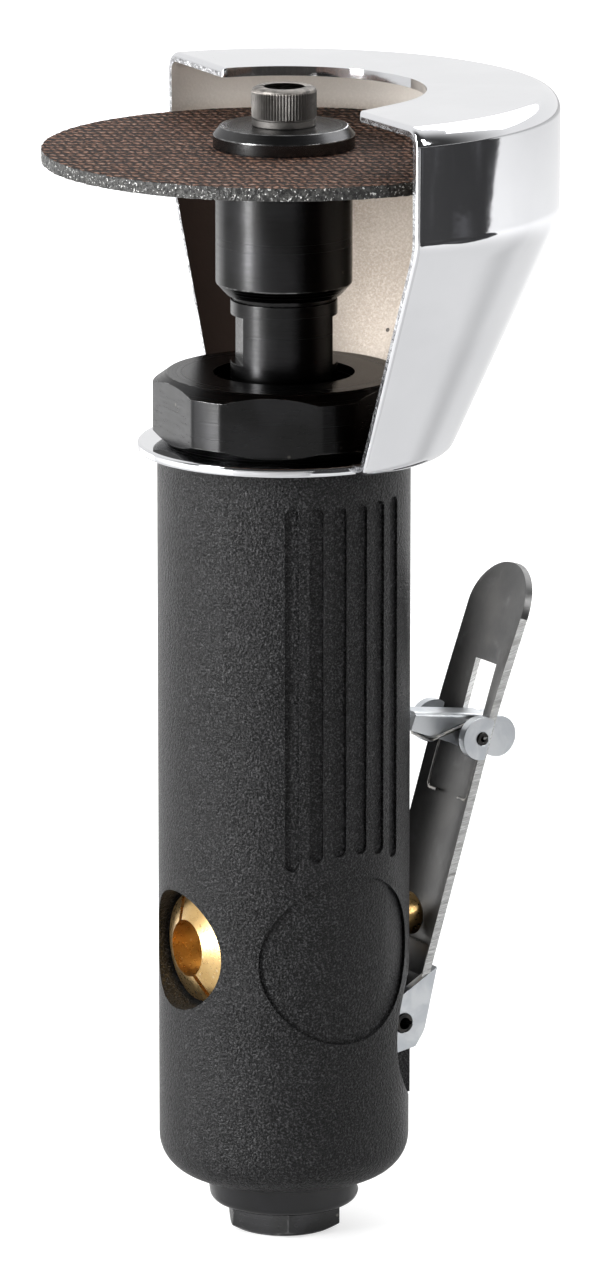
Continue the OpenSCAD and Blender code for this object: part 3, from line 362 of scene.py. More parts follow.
def dull_plate():
    """The guard's inside: thin plating, with painted light above the wheel and painted shade below it on one
    side.
    """
    f = Finish("dull plate", metallic=0.3)
    cloud = f.effect(patches, Scale=55)
    pit = f.effect(specks, Scale=190, Size=0.07, Share=0.2)
    fine = ramp(f.tree, f.effect(grain, Scale=2700), 0.4, 0.75)
    place = wire_up(f.tree, "SeparateXYZ", {0: object_coordinates(f.tree)}).outputs
    # Painted shade: darker below the wheel's underside on one side. Painted light: lighter above the wheel's
    # underside.
    painted_shade = f.product(ramp(f.tree, place[0], *PAINTED_SHADE_SIDE),
                     ramp(f.tree, place[2], WHEEL_UNDERSIDE, WHEEL_UNDERSIDE - PAINTED_SHADE_DEPTH))
    painted_light = ramp(f.tree, place[2], WHEEL_UNDERSIDE, WHEEL_UNDERSIDE + PAINTED_LIGHT_HEIGHT)
    f.colour((0.39, 0.33, 0.275), (cloud, (0.46, 0.4, 0.34)), (fine, (0.55, 0.49, 0.425)),
             (f.product(painted_light, 0.7), (0.85, 0.8, 0.74)), (pit, (0.05, 0.04, 0.03)),
             (painted_shade, (0.028, 0.017, 0.013)))
    f.roughen(f.effect(grain, Scale=1300), 0.38, 0.6)
    f.bump((f.effect(grain, Scale=2200), 0.00004))
    return f.material


def plated_edge():
    """The sheet's cut edge keeps its tears under the plating."""
    f = Finish("plated edge", metallic=1.0)
    f.colour((0.55, 0.555, 0.57), (f.effect(patches, Scale=600), (0.33, 0.33, 0.34)))
    f.roughen(f.effect(grain, Scale=1800), 0.15, 0.35)
    f.bump((f.effect(grain, Scale=900, Detail=2), 0.0002))
    return f.material


def blackened(name, shade=0.035, worn=0.25):
    f = Finish(name, metallic=1.0, Specular_Tint=(0.8, 0.8, 0.8, 1))
    dust = f.effect(specks, Scale=420, Size=0.12, Share=0.2)
    bare = f.product(f.edges(), f.effect(patches, Scale=500, Low=0.35, High=0.7))
    f.colour((shade, shade, shade * 1.03), (f.effect(patches, Scale=120), (shade * 0.75,) * 3),
             (dust, (shade * 2.4, shade * 2.3, shade * 2.1)), (bare, (worn, worn, worn)))
    f.roughen(f.effect(rings, Scale=1800), 0.16, 0.34)
    f.bump((f.effect(rings, Scale=2600), 0.000012))
    return f.material


def worn_steel(name="worn screw steel", shade=0.16, metallic=1.0):
    f = Finish(name, metallic=metallic)
    bare = f.product(f.edges(), f.effect(patches, Scale=700, Low=0.3, High=0.65))
    stain = f.effect(patches, Scale=300)
    f.colour((shade, shade * 0.955, shade * 0.91), (stain, (shade * 0.62, shade * 0.59, shade * 0.56)),
             (bare, (0.3, 0.28, 0.26)))
    f.roughen(f.effect(grain, Scale=2500), 0.5, 0.7)
    f.bump((f.effect(grain, Scale=3200), 0.00002))
    return f.material


def abrasive_net():
    f = Finish("abrasive net", roughness=0.8, Specular_IOR_Level=0.15)
    net = f.effect(weave)
    grit = f.effect(grain, Scale=1500)
    # Painted highlight: a pale colour on the net's crests where the grit stands high.
    painted_crest_highlight = f.product(ramp(f.tree, net, 0.6, 0.95), ramp(f.tree, grit, 0.45, 0.65))
    dirt = f.product(f.effect(patches, Scale=1300), 0.85)
    f.colour((0.006, 0.0035, 0.003), (ramp(f.tree, net, 0.1, 0.9), (0.22, 0.11, 0.07)),
             (dirt, (0.02, 0.011, 0.008)), (painted_crest_highlight, (0.37, 0.25, 0.2)))
    f.roughen(grit, 0.5, 0.9)
    f.bump((net, 0.0005), (grit, 0.0003))
    return f.material


def abrasive_rim():
    f = Finish("abrasive rim", roughness=0.7)
    # Pale specks on the rim are painted sparkle.
    painted_sparkle = ramp(f.tree, f.effect(grain, Scale=2400), 0.6, 0.68)
    f.colour((0.007, 0.007, 0.0065), (f.effect(patches, Scale=1500), (0.045, 0.044, 0.041)),
             (painted_sparkle, (0.62, 0.62, 0.6)))
    f.roughen(f.effect(grain, Scale=2000), 0.2, 0.7)
    f.bump((f.effect(grain, Scale=1100), 0.0006))
    return f.material


def satin_sheet(name, shade):
    """Rolled sheet: fine grain and soft cloudy tones."""
    f = Finish(name, metallic=1.0)
    f.colour((shade, shade * 0.985, shade * 0.96), (f.effect(patches, Scale=70), (shade * 0.72,) * 3),
             (f.effect(patches, Scale=260, Low=0.55, High=0.8), (shade * 1.25,) * 3))
    f.roughen(f.effect(grain, Scale=900), 0.26, 0.44)
    f.bump((f.effect(grain, Scale=2600), 0.000015))
    return f.material


def sheared_edge():
    f = Finish("sheared edge", metallic=0.35)
    tear = f.effect(shear)
    f.colour((0.95, 0.95, 0.94), (ramp(f.tree, tear, 0.5, 0.7), (0.66, 0.655, 0.64)))
    f.roughen(tear, 0.16, 0.4)
    f.bump((tear, 0.0001))
    return f.material


def zinc():
    f = Finish("zinc plate", metallic=1.0)
    f.colour((0.58, 0.605, 0.635), (f.effect(patches, Scale=240), (0.70, 0.72, 0.74)),
             (f.effect(patches, Scale=110, Low=0.55, High=0.8), (0.48, 0.51, 0.55)))
    f.roughen(f.effect(grain, Scale=1500), 0.3, 0.5)
    f.bump((f.effect(grain, Scale=2400), 0.000018))
    return f.material


def brass():
    f = Finish("brass", metallic=1.0)
    f.colour((0.66, 0.45, 0.2), (f.effect(patches, Scale=150), (0.58, 0.375, 0.15)),
             (f.effect(specks, Scale=900, Size=0.2, Share=0.1), (0.74, 0.56, 0.31)))
    f.roughen(f.effect(grain, Scale=1400), 0.2, 0.38)
    f.bump((f.effect(grain, Scale=2600), 0.00002))
    return f.material


def moulded_black():
    f = Finish("moulded black", roughness=0.35)
    f.colour((0.007, 0.007, 0.0075), (f.effect(patches, Scale=130), (0.01, 0.01, 0.0115)),
             (f.effect(specks, Scale=420, Size=0.12, Share=0.15), (0.07, 0.07, 0.07)))
    f.roughen(f.effect(patches, Scale=300), 0.1, 0.22)
    f.bump((f.effect(grain, Scale=1600), 0.00001))
    return f.material


def wire_steel(name="spring wire", shade=0.42):
    f = Finish(name, metallic=1.0)
    f.colour((shade, shade * 0.96, shade * 0.9), (f.effect(patches, Scale=700), (shade * 0.55,) * 3))
    f.roughen(f.effect(grain, Scale=2500), 0.22, 0.42)
    f.bump((f.effect(grain, Scale=3500), 0.00001))
    return f.material


# %% Finishes of the pieces inside


def inside_finish(name, colour, metallic, low, high):
    """Plain working surface with slight tone and roughness changes."""
    f = Finish(name, metallic=metallic)
    darker = tuple(0.7 * c for c in colour)
    f.colour(colour, (f.effect(patches, Scale=200), darker))
    f.roughen(f.effect(grain, Scale=1500), low, high)
    f.bump((f.effect(grain, Scale=2500), 0.00002))
    return f.material


FINISHES = {
    "black_coat": grip_coat(), "chrome_plate": chrome(), "black_oxide": blackened("black oxide"),
    "worn_screw": worn_steel(), "abrasive": abrasive_net(), "brass": brass(), "zinc_plate": zinc(),
    "black_plastic": moulded_black(), "lever_steel": satin_sheet("lever sheet", 0.17),
    "pin_steel": wire_steel("pin steel", 0.05), "spring_steel": wire_steel(),
    "motor_steel": inside_finish("ground steel", (0.42, 0.42, 0.43), 1.0, 0.2, 0.4),
    "bearing_steel": inside_finish("bearing steel", (0.62, 0.62, 0.64), 1.0, 0.1, 0.2),
    "vane_fibre": inside_finish("vane fibre", (0.25, 0.14, 0.07), 0.0, 0.5, 0.7),
    "rubber": inside_finish("seal rubber", (0.02, 0.02, 0.02), 0.0, 0.5, 0.75),
    "felt": inside_finish("felt", (0.35, 0.35, 0.32), 0.0, 0.85, 1.0),
}
dull_inside = dull_plate()
cut_edge = plated_edge()
bright_edge = sheared_edge()
slot_of = {s["node"]: s["material_slot"] for s in frame["record"]["subparts"]}
for name, obj in frame["nodes"].items():
    obj.data.materials.clear()
    obj.data.materials.append(FINISHES[slot_of[name]])
print("finishes:", len(FINISHES) + 3)

# %% [markdown]
# ## Softened copies
#
# No real edge is perfectly sharp: a tiny round catches the light and makes metal look like metal.
# For pieces whose CAD shape is already right, a copy of the mesh is merged, its flat stretches
# are joined, and its sharp edges are beveled. The new small faces carry the attribute "edge",
# which the finishes use for wear. The grip's slots are first made shallower than in the solid, as
# they look in the photograph.

# %% Piece helpers


def round_edges(bm, width, least_angle=30, segments=2):
    """Bevels every edge that turns more than least_angle and marks the new faces."""
    edge_layer = bm.faces.layers.float.get("edge") or bm.faces.layers.float.new("edge")
    sharp = [e for e in bm.edges if len(e.link_faces) == 2
             and e.calc_face_angle(0) > math.radians(least_angle)]
    made = bmesh.ops.bevel(bm, geom=sharp, offset=width, offset_type="OFFSET", segments=segments,
                           profile=0.5, affect="EDGES", clamp_overlap=True, material=-1)
    for face in made["faces"]:
        face[edge_layer] = 1.0


def place_piece(name, bm, finishes, body, *nodes, smooth_angle=40):
    """Makes the object, shades it, and lets it stand for its CAD nodes on their body."""
    mesh = bpy.data.meshes.new(name)
    bm.to_mesh(mesh)
    bm.free()
    for finish in finishes:
        mesh.materials.append(finish)
    for polygon in mesh.polygons:
        polygon.use_smooth = True
    mesh.set_sharp_from_angle(angle=math.radians(smooth_angle))
    obj = bpy.data.objects.new(name, mesh)
    scene.collection.objects.link(obj)
    even = obj.modifiers.new("even normals", "WEIGHTED_NORMAL")
    even.keep_sharp = True
    if body:
        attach(obj, body)
    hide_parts(*nodes)
    print(f"{name}: {len(mesh.polygons)} faces")
    return obj


def merged_copy(node):
    """A CAD node's mesh with its loose triangles joined and its flat faces made whole."""
    bm = bmesh.new()
    bm.from_mesh(frame["nodes"][node].data)
    bmesh.ops.remove_doubles(bm, verts=bm.verts, dist=0.004 * MM)
    bmesh.ops.dissolve_limit(bm, angle_limit=math.radians(0.8), verts=bm.verts, edges=bm.edges)
    for layer in list(bm.loops.layers.uv):
        bm.loops.layers.uv.remove(layer)
    return bm


def softened(name, node, body, width, finishes=None):
    bm = merged_copy(node)
    round_edges(bm, width)
    return place_piece(name, bm, finishes or [FINISHES[slot_of[node]]], body, node)


# %% Softened pieces
GRIP_R, SLOT_LOW, SLOT_HIGH, SLOT_SHARE = 19.75 * MM, 58 * MM, 121 * MM, 0.55
SLOT_DEEPEST, SKIN = 1.8 * MM, 0.05 * MM
bm = merged_copy("housing")
for vert in bm.verts:
    reach = vert.co.xy.length
    if SLOT_LOW < vert.co.z < SLOT_HIGH and GRIP_R - SLOT_DEEPEST < reach < GRIP_R - SKIN:
        vert.co.xy *= (GRIP_R - SLOT_SHARE * (GRIP_R - reach)) / reach
round_edges(bm, 0.25 * MM)
place_piece("grip_shell", bm, [FINISHES["black_coat"]], "tool_body", "housing")
softened("hex_nut", "clamp_nut", "tool_body", 0.2 * MM)
softened("arbor", "spindle", "spindle", 0.15 * MM)
softened("regulator_knob", "regulator", "regulator", 0.12 * MM)
softened("plunger", "valve_stem", "valve", 0.1 * MM)
# The inlet hex takes a lighter copy of the black oxide: its brighter tone is painted light.
softened("inlet_hex", "inlet_bushing", "tool_body", 0.2 * MM, [blackened("inlet oxide painted lighter", 0.075)])
softened("exhaust_ring", "exhaust_deflector", "deflector", 0.2 * MM)
softened("lever_pin", "lever_pivot_pin", "tool_body", 0.08 * MM)
softened("latch_axle", "latch_pin", "lever", 0.08 * MM)

# %% [markdown]
# ## Throttle lever
#
# The lever is cut from sheet and pressed to an arc. A flat grid is laid out so that its lines fall
# on the window and on the gap beside the spring, those faces are deleted, the upper rows are drawn
# together into a round tip, and the grid is bent, less toward the tip, and given its thickness. The
# ears and the tabs are flat plates with a hole. The shears leave bright torn edges, so the rim faces
# below the tip get their own finish.

# %% Lever blade
LEVER_FOOT = Vector((27.87, 0, 50)) * MM
LEVER_HALF, LEVER_SHEET, LEVER_ARC, FLATTEN = 8 * MM, 1.15 * MM, 15 * MM, 0.55
LEVER_LOW, LEVER_LONG = -15.5 * MM, 52 * MM / math.cos(LEVER_LEAN)
PIN = Vector((31.9, 0, 76.5)) * MM
PIVOT = Vector((17.4, 0, 32)) * MM
EAR_INSIDE = 6.4 * MM
WINDOW_HALF, WINDOW_BELOW, WINDOW_ABOVE = 3.15 * MM, 1.9 * MM, 11.6 * MM
RELIEF_HALF, RELIEF_REACH = 6.5 * MM, 1.7 * MM
sheet_normal = Vector((math.cos(LEVER_LEAN), 0, -math.sin(LEVER_LEAN)))
up_lever = Vector((math.sin(LEVER_LEAN), 0, math.cos(LEVER_LEAN)))
pin_up = (PIN - LEVER_FOOT).dot(up_lever)


def on_lever(x, y, z):
    """A point of the lever's own frame: out of the sheet, across it and along it."""
    return LEVER_FOOT + x * sheet_normal + Vector((0, y, 0)) + z * up_lever


def lines(marks, longest):
    """Grid lines at the given marks, with even steps of at most longest between them."""
    places = [marks[0]]
    for low, high in zip(marks, marks[1:]):
        steps = max(1, math.ceil((high - low) / longest))
        places += [low + (high - low) * (i + 1) / steps for i in range(steps)]
    return places


tip_start = LEVER_LONG - LEVER_HALF
columns = lines([-LEVER_HALF, -RELIEF_HALF, -WINDOW_HALF, WINDOW_HALF, RELIEF_HALF, LEVER_HALF], 0.8 * MM)
rows = lines([LEVER_LOW, pin_up - WINDOW_BELOW, pin_up - RELIEF_REACH, pin_up + RELIEF_REACH,
              pin_up + WINDOW_ABOVE, tip_start], 2 * MM)
TIP_STEPS, TIP_TURN = 14, math.radians(86)
bm = bmesh.new()
bmesh.ops.create_grid(bm, x_segments=len(columns) - 1, y_segments=len(rows) - 1 + TIP_STEPS, size=0.5)
bm.verts.ensure_lookup_table()
cut = []
for vert in bm.verts:
    column = round((vert.co.x + 0.5) * (len(columns) - 1))
    row = round((vert.co.y + 0.5) * (len(rows) - 1 + TIP_STEPS))
    turn = max(0, row - len(rows) + 1) / TIP_STEPS * TIP_TURN
    y = columns[column] * math.cos(turn)
    z = rows[min(row, len(rows) - 1)] + LEVER_HALF * math.sin(turn)
    above = min(1, max(0, (z - pin_up) / (LEVER_LONG - pin_up)))
    depth = 1 - FLATTEN * above * above * (3 - 2 * above)
    vert.co = (depth * (math.sqrt(LEVER_ARC ** 2 - y ** 2) - LEVER_ARC), y, z)
for face in bm.faces:
    middle = face.calc_center_median()
    up = middle.z - pin_up
    in_window = abs(middle.y) < WINDOW_HALF and -WINDOW_BELOW < up < WINDOW_ABOVE
    in_relief = abs(middle.y) < RELIEF_HALF and abs(up) < RELIEF_REACH
    if in_window or in_relief:
        cut.append(face)
bmesh.ops.delete(bm, geom=cut, context="FACES")
bmesh.ops.recalc_face_normals(bm, faces=bm.faces)
if sum(face.normal.x for face in bm.faces) < 0:
    bmesh.ops.reverse_faces(bm, faces=bm.faces)
bmesh.ops.solidify(bm, geom=bm.faces, thickness=LEVER_SHEET)
bmesh.ops.recalc_face_normals(bm, faces=bm.faces)
for face in bm.faces:
    middle = face.calc_center_median()
    radial = Vector((middle.x + LEVER_ARC, middle.y, 0)).normalized()
    face.material_index = 1 if abs(face.normal.dot(radial)) < 0.5 and middle.z < tip_start else 0
round_edges(bm, 0.12 * MM, least_angle=50)
to_tool = Matrix((sheet_normal, (0, 1, 0), up_lever)).transposed().to_4x4()
to_tool.translation = LEVER_FOOT
bmesh.ops.transform(bm, matrix=to_tool, verts=bm.verts)

# %% Lever foot, ears and tabs


def add_bmesh(bm, other):
    """Copies other into bm."""
    held = bpy.data.meshes.new("held")
    other.to_mesh(held)
    other.free()
    bm.from_mesh(held)
    bpy.data.meshes.remove(held)


def circle_points(centre, radius, count=40):
    angles = [2 * math.pi * i / count for i in range(count)]
    return [centre + radius * Vector((math.cos(a), 0, math.sin(a))) for a in angles]


def holed_plate(outline, centre, radius, y0, y1, material, edge_width):
    """Flat plate across Y from an outline of points, with a round hole."""
    plate = bmesh.new()
    edges = []
    for loop in (outline, circle_points(centre, radius, 32)):
        verts = [plate.verts.new((point.x, y0, point.z)) for point in loop]
        edges += [plate.edges.new((a, b)) for a, b in zip(verts, verts[1:] + verts[:1])]
    bmesh.ops.triangle_fill(plate, use_beauty=True, edges=edges)
    made = bmesh.ops.extrude_face_region(plate, geom=plate.faces[:])
    moved = [v for v in made["geom"] if isinstance(v, bmesh.types.BMVert)]
    bmesh.ops.translate(plate, verts=moved, vec=(0, y1 - y0, 0))
    bmesh.ops.recalc_face_normals(plate, faces=plate.faces)
    for face in plate.faces:
        face.material_index = material
    round_edges(plate, edge_width, least_angle=40)
    return plate


def hull_outline(points):
    """Convex outline of points in x and z, in order around their middle."""
    flat = bmesh.new()
    for point in points:
        flat.verts.new((point.x, 0, point.z))
    middle = sum(points, Vector()) / len(points)
    made = bmesh.ops.convex_hull(flat, input=flat.verts)
    loose = {v for v in made["geom_interior"] + made["geom_unused"] if isinstance(v, bmesh.types.BMVert)}
    rim = [v.co.copy() for v in flat.verts if v not in loose]
    flat.free()
    return sorted(rim, key=lambda co: math.atan2(co.z - middle.z, co.x - middle.x))


EAR_R, TAB_R, TAB_CUT = 4.2 * MM, 3.5 * MM, -2.4 * MM
PIVOT_HOLE_R, PIN_HOLE_R = 1.6 * MM, 1.04 * MM
WEB_OUT, WEB_LOW, WEB_HIGH = -1.5 * MM, -12.55 * MM, -7.5 * MM
EAR_TOP, EAR_LOW = on_lever(-1.2 * MM, 0, -10.4 * MM), on_lever(-1.4 * MM, 0, -23.6 * MM)
EAR_HEEL = PIVOT + Vector((-2.9, 0, -5)) * MM
PLATE_EDGE = 0.15 * MM
ear = hull_outline(circle_points(PIVOT, EAR_R) + [EAR_TOP, EAR_LOW, EAR_HEEL])
tab = []
for point in circle_points(PIN, TAB_R):
    out = (point - LEVER_FOOT).dot(sheet_normal)
    tab.append(point + min(0, TAB_CUT - out) * sheet_normal)
for side in (-1, 1):
    y0, y1 = sorted((side * EAR_INSIDE, side * LEVER_HALF))
    add_bmesh(bm, holed_plate(ear, PIVOT, PIVOT_HOLE_R, y0, y1, 2, PLATE_EDGE))
    add_bmesh(bm, holed_plate(tab, PIN, PIN_HOLE_R, y0, y1, 2, PLATE_EDGE))
web = bmesh.new()
bmesh.ops.create_cube(web, size=1)
bmesh.ops.scale(web, vec=(LEVER_SHEET, 2 * EAR_INSIDE, WEB_HIGH - WEB_LOW), verts=web.verts)
bmesh.ops.translate(web, vec=(WEB_OUT - LEVER_SHEET / 2, 0, (WEB_HIGH + WEB_LOW) / 2), verts=web.verts)
round_edges(web, PLATE_EDGE)
web.normal_update()
for face in web.faces:
    face.material_index = 2 if abs(face.normal.y) > 0.8 else 0
bmesh.ops.transform(web, matrix=to_tool, verts=web.verts)
add_bmesh(bm, web)
place_piece("lever_blade", bm, [FINISHES["lever_steel"], bright_edge, FINISHES["zinc_plate"]],
            "lever", "throttle_lever", smooth_angle=35)

# %% [markdown]
# ## Latch
#
# The latch is a strip folded to a channel: two cheeks with an eye for the pin and a round thumb
# end, and a top that lies aslant between them. Each cheek is an outline of straight runs and two
# arcs. The top is a flat plate whose long edges are rounded like the fold of a sheet.

# %% Latch
LATCH_HALF, LATCH_SHEET, FOLD_ROUND = 2.7 * MM, 1.2 * MM, 0.7 * MM
LATCH_EYE_R, THUMB_R = 2.4 * MM, 3.3 * MM
TIP, TIP_TOP, LATCH_LOW, HEEL, THUMB = (PIN + Vector((x, 0, z)) * MM for x, z in (
    (-10, 1.5), (-9.2, 4.4), (-6.1, 0.05), (4.6, 2.4), (6.4, -1.5)))
UNDER_FOLD = Vector((0, 0, -0.7)) * MM


def arc_points(centre, radius, start, end, steps):
    angles = [math.radians(start + (end - start) * i / steps) for i in range(steps + 1)]
    return [centre + radius * Vector((math.cos(a), 0, math.sin(a))) for a in angles]


cheek = [TIP_TOP + UNDER_FOLD, TIP, LATCH_LOW]
cheek += arc_points(PIN, LATCH_EYE_R, 226, 286, 8)
cheek += arc_points(THUMB, THUMB_R, 188, 475, 40)
cheek.append(HEEL + UNDER_FOLD)
bm = bmesh.new()
for side in (-1, 1):
    y0, y1 = sorted((side * (LATCH_HALF - 0.01 * MM), side * (LATCH_HALF - LATCH_SHEET)))
    add_bmesh(bm, holed_plate(cheek, PIN, PIN_HOLE_R, y0, y1, 0, 0.1 * MM))
top = bmesh.new()
bmesh.ops.create_cube(top, size=1)
run = HEEL - TIP_TOP
bmesh.ops.scale(top, vec=(run.length, 2 * LATCH_HALF, LATCH_SHEET), verts=top.verts)
fold = [e for e in top.edges if all(v.co.z > 0 for v in e.verts)
        and abs(e.verts[0].co.y - e.verts[1].co.y) < 0.1 * MM]
bmesh.ops.bevel(top, geom=fold, offset=FOLD_ROUND, segments=5, profile=0.5, affect="EDGES")
round_edges(top, 0.08 * MM, least_angle=60)
bmesh.ops.rotate(top, matrix=Matrix.Rotation(math.atan2(-run.z, run.x), 3, "Y"), verts=top.verts)
bmesh.ops.translate(top, vec=(TIP_TOP + HEEL) / 2 - Vector((0, 0, LATCH_SHEET / 2)), verts=top.verts)
add_bmesh(bm, top)
place_piece("latch_channel", bm, [FINISHES["zinc_plate"]], "latch", "latch", smooth_angle=35)

# %% [markdown]
# ## Turned pieces and the wheel
#
# The wheel's sleeve, washer and disc are bodies of revolution, so half a section is drawn and
# spun about the motor axis. The disc's rim is broken grit: its points are pushed in and out by
# a noise, which leaves a ragged outline, and its rim takes a grey finish with painted sparkle.

# %% Turned pieces
SPIN_STEPS = 96


def spun(section, steps=SPIN_STEPS):
    """A bmesh spun about Z from a closed section of (radius, height) points."""
    bm = bmesh.new()
    verts = [bm.verts.new((r, 0, z)) for r, z in section]
    edges = [bm.edges.new((a, b)) for a, b in zip(verts, verts[1:] + verts[:1])]
    bmesh.ops.spin(bm, geom=verts + edges, cent=(0, 0, 0), axis=(0, 0, 1), angle=2 * math.pi,
                   steps=steps, use_merge=True)
    bmesh.ops.remove_doubles(bm, verts=bm.verts, dist=1e-7)
    bmesh.ops.recalc_face_normals(bm, faces=bm.faces)
    return bm


def node_span(node):
    low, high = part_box(node)
    return low.z, high.z, high.x


sleeve_low, sleeve_high, sleeve_r = node_span("inner_flange")
wheel_low, wheel_high, wheel_r = node_span("cutting_wheel")
washer_low, washer_high, washer_r = node_span("outer_flange")
RELIEF_R, RELIEF_H = 8 * MM, 0.8 * MM
SLEEVE_CHAMFER = (1.7 * MM, 1.9 * MM)
STUB_R, PILOT_R, SCREW_WAY_R = 6.05 * MM, 4.75 * MM, 3.2 * MM
stub_end = sleeve_high - 7 * MM
bm = spun([
    (STUB_R, sleeve_low), (RELIEF_R, sleeve_low), (RELIEF_R, sleeve_low + RELIEF_H),
    (sleeve_r - SLEEVE_CHAMFER[0], sleeve_low + RELIEF_H),
    (sleeve_r, sleeve_low + RELIEF_H + SLEEVE_CHAMFER[1]), (sleeve_r, wheel_low),
    (PILOT_R, wheel_low), (PILOT_R, sleeve_high), (SCREW_WAY_R, sleeve_high), (SCREW_WAY_R, stub_end),
    (STUB_R, stub_end),
])
round_edges(bm, 0.15 * MM)
place_piece("wheel_sleeve", bm, [FINISHES["black_oxide"]], "spindle", "inner_flange")

WASHER_CHAMFER = (1.1 * MM, 1.4 * MM)
bm = spun([
    (SCREW_WAY_R, washer_low), (washer_r, washer_low), (washer_r, washer_high - WASHER_CHAMFER[1]),
    (washer_r - WASHER_CHAMFER[0], washer_high), (SCREW_WAY_R, washer_high),
])
round_edges(bm, 0.12 * MM)
place_piece("wheel_washer", bm, [blackened("washer oxide", 0.085, 0.3)], "spindle", "outer_flange")

# %% Cutting wheel
RIM_BAND = 1.1 * MM
GRIT_HEIGHT, GRIT_RISE = 0.22 * MM, 0.12 * MM
GRIT_SCALE = 1400
WHEEL_BORE_R = 4.8 * MM
WHEEL_STEPS, RIM_ROWS = 480, 5
section = [(WHEEL_BORE_R, wheel_low), (wheel_r - RIM_BAND, wheel_low)]
section += [(wheel_r, wheel_low + (wheel_high - wheel_low) * i / RIM_ROWS) for i in range(RIM_ROWS + 1)]
section += [(wheel_r - RIM_BAND, wheel_high), (WHEEL_BORE_R, wheel_high)]
bm = spun(section, steps=WHEEL_STEPS)
for vert in bm.verts:
    flat = Vector((vert.co.x, vert.co.y, 0))
    if flat.length > wheel_r - 0.1 * RIM_BAND:
        push = noise.noise(vert.co * GRIT_SCALE) - 0.45
        vert.co -= flat.normalized() * GRIT_HEIGHT * abs(push)
        vert.co.z += GRIT_RISE * noise.noise(vert.co * GRIT_SCALE + Vector((7, 3, 1)))
        vert.co.z = min(max(vert.co.z, wheel_low), wheel_high)
for face in bm.faces:
    if face.calc_center_median().xy.length > wheel_r - 0.8 * RIM_BAND and abs(face.normal.z) < 0.7:
        face.material_index = 1
place_piece("abrasive_disc", bm, [FINISHES["abrasive"], abrasive_rim()], "spindle", "cutting_wheel")

# %% [markdown]
# ## Knurled screw
#
# A socket screw's head is rolled with straight ridges so that fingers can turn it. A circle with
# two points per ridge is extruded upward, and every second point is pulled in. The hexagon socket
# is bridged to the head's inner circle.

# %% Knurled screw
screw_low, screw_top, head_r = node_span("cap_screw")
RIDGES = 66
RIDGE_DEPTH = 0.2 * MM
head_low = washer_high
SOCKET_FLATS = 5 * MM
SOCKET_DEPTH = 3 * MM
SHANK_R = 2.98 * MM
SOCKET_STEP = 0.22 * MM
hexagon_r = SOCKET_FLATS / 2 / math.cos(math.pi / 6)
bm = bmesh.new()
# height, share of the head's radius, share of the ridges' depth
levels = [(head_low, 0.955, 0), (head_low + 0.12 * MM, 0.975, 0), (head_low + 1.05 * MM, 0.975, 0),
          (head_low + 1.15 * MM, 0.93, 0), (head_low + 1.3 * MM, 0.93, 0), (head_low + 1.4 * MM, 1, 1),
          (screw_top - 0.75 * MM, 1, 1), (screw_top - 0.5 * MM, 0.985, 0.5),
          (screw_top - 0.3 * MM, 0.96, 0), (screw_top - 0.08 * MM, 0.9, 0), (screw_top, 0.84, 0),
          (screw_top, 0.62, 0), (screw_top - 0.2 * MM, 0.58, 0)]


def circle_loop(segments, radius, height, knurl=0, **options):
    """The edges of a new circle about Z; knurl pulls in every second point."""
    verts = bmesh.ops.create_circle(bm, segments=segments, radius=radius,
                                    matrix=Matrix.Translation((0, 0, height)), **options)["verts"]
    for vert in verts[1::2] if knurl else ():
        vert.co.xy *= 1 - knurl * RIDGE_DEPTH / head_r
    return list({e for v in verts for e in v.link_edges})


loops = [circle_loop(2 * RIDGES, head_r * share, height, knurl) for height, share, knurl in levels]
mouth = circle_loop(6, hexagon_r, screw_top - SOCKET_STEP)
socket_end = circle_loop(6, hexagon_r, screw_top - SOCKET_DEPTH, cap_ends=True)
shank_top = circle_loop(48, SHANK_R, head_low)
shank_end = circle_loop(48, SHANK_R, screw_low, cap_ends=True)
pairs = list(zip(loops, loops[1:]))
pairs += [(loops[-1], mouth), (mouth, socket_end), (loops[0], shank_top), (shank_top, shank_end)]
for first, second in pairs:
    bmesh.ops.bridge_loops(bm, edges=first + second)
bmesh.ops.recalc_face_normals(bm, faces=bm.faces)
edge_layer = bm.faces.layers.float.new("edge")
for face in bm.faces:
    middle = face.calc_center_median()
    below_top = screw_top - middle.z
    if 0.05 * MM < below_top < 0.7 * MM or face.normal.z > 0.3 and below_top < 0.4 * MM:
        face[edge_layer] = 1.0
    # The socket's faces take a lighter, less metallic copy of the screw steel: painted light inside the
    # socket.
    if below_top > 0.3 * MM and middle.xy.length < hexagon_r and middle.z > head_low:
        face.material_index = 1
place_piece("knurled_screw", bm, [FINISHES["worn_screw"], worn_steel("socket painted light", 0.6, 0.2)],
            "spindle", "cap_screw", smooth_angle=32)

# %% [markdown]
# ## Wheel guard
#
# The guard is pressed from one sheet and plated. Chrome shows every flaw of a curve, so its wall is
# spun from a section with true arcs and many steps. The spin stops at the guard's two ends, which
# are closed and rounded. Near one end the flange is cut back a little. Faces that look at the wheel
# take a dull finish, and the two cut ends one that shows the torn sheet under the plating.

# %% Wheel guard
guard_low, guard_high, guard_r = node_span("wheel_guard")
SHEET = 1.5 * MM
FOOT_R = 25.8 * MM
RING_HOLE_R, RING_R = 16.8 * MM, 22.8 * MM
KNEE_Z = 162.8 * MM
FLANGE_R = 22 * MM
FOOT_ROUND, KNEE_ROUND, TOP_ROUND, END_ROUND = 3 * MM, 10 * MM, 3 * MM, 1.1 * MM
GUARD_START, GUARD_SWEEP = math.radians(-93.5), math.radians(177.7)
TIP_CUT, TIP_SPAN = 2 * MM, math.radians(25)
GUARD_STEPS, RING_STEPS = 88, 120
guard_lean = math.atan((guard_r - FOOT_R) / (KNEE_Z - guard_low))


def arc(centre, radius, start, end, steps=10):
    """Points of an arc in (radius, height), between two angles in degrees."""
    angles = [math.radians(start + (end - start) * i / steps) for i in range(steps + 1)]
    return [(centre[0] + radius * math.cos(a), centre[1] + radius * math.sin(a)) for a in angles]


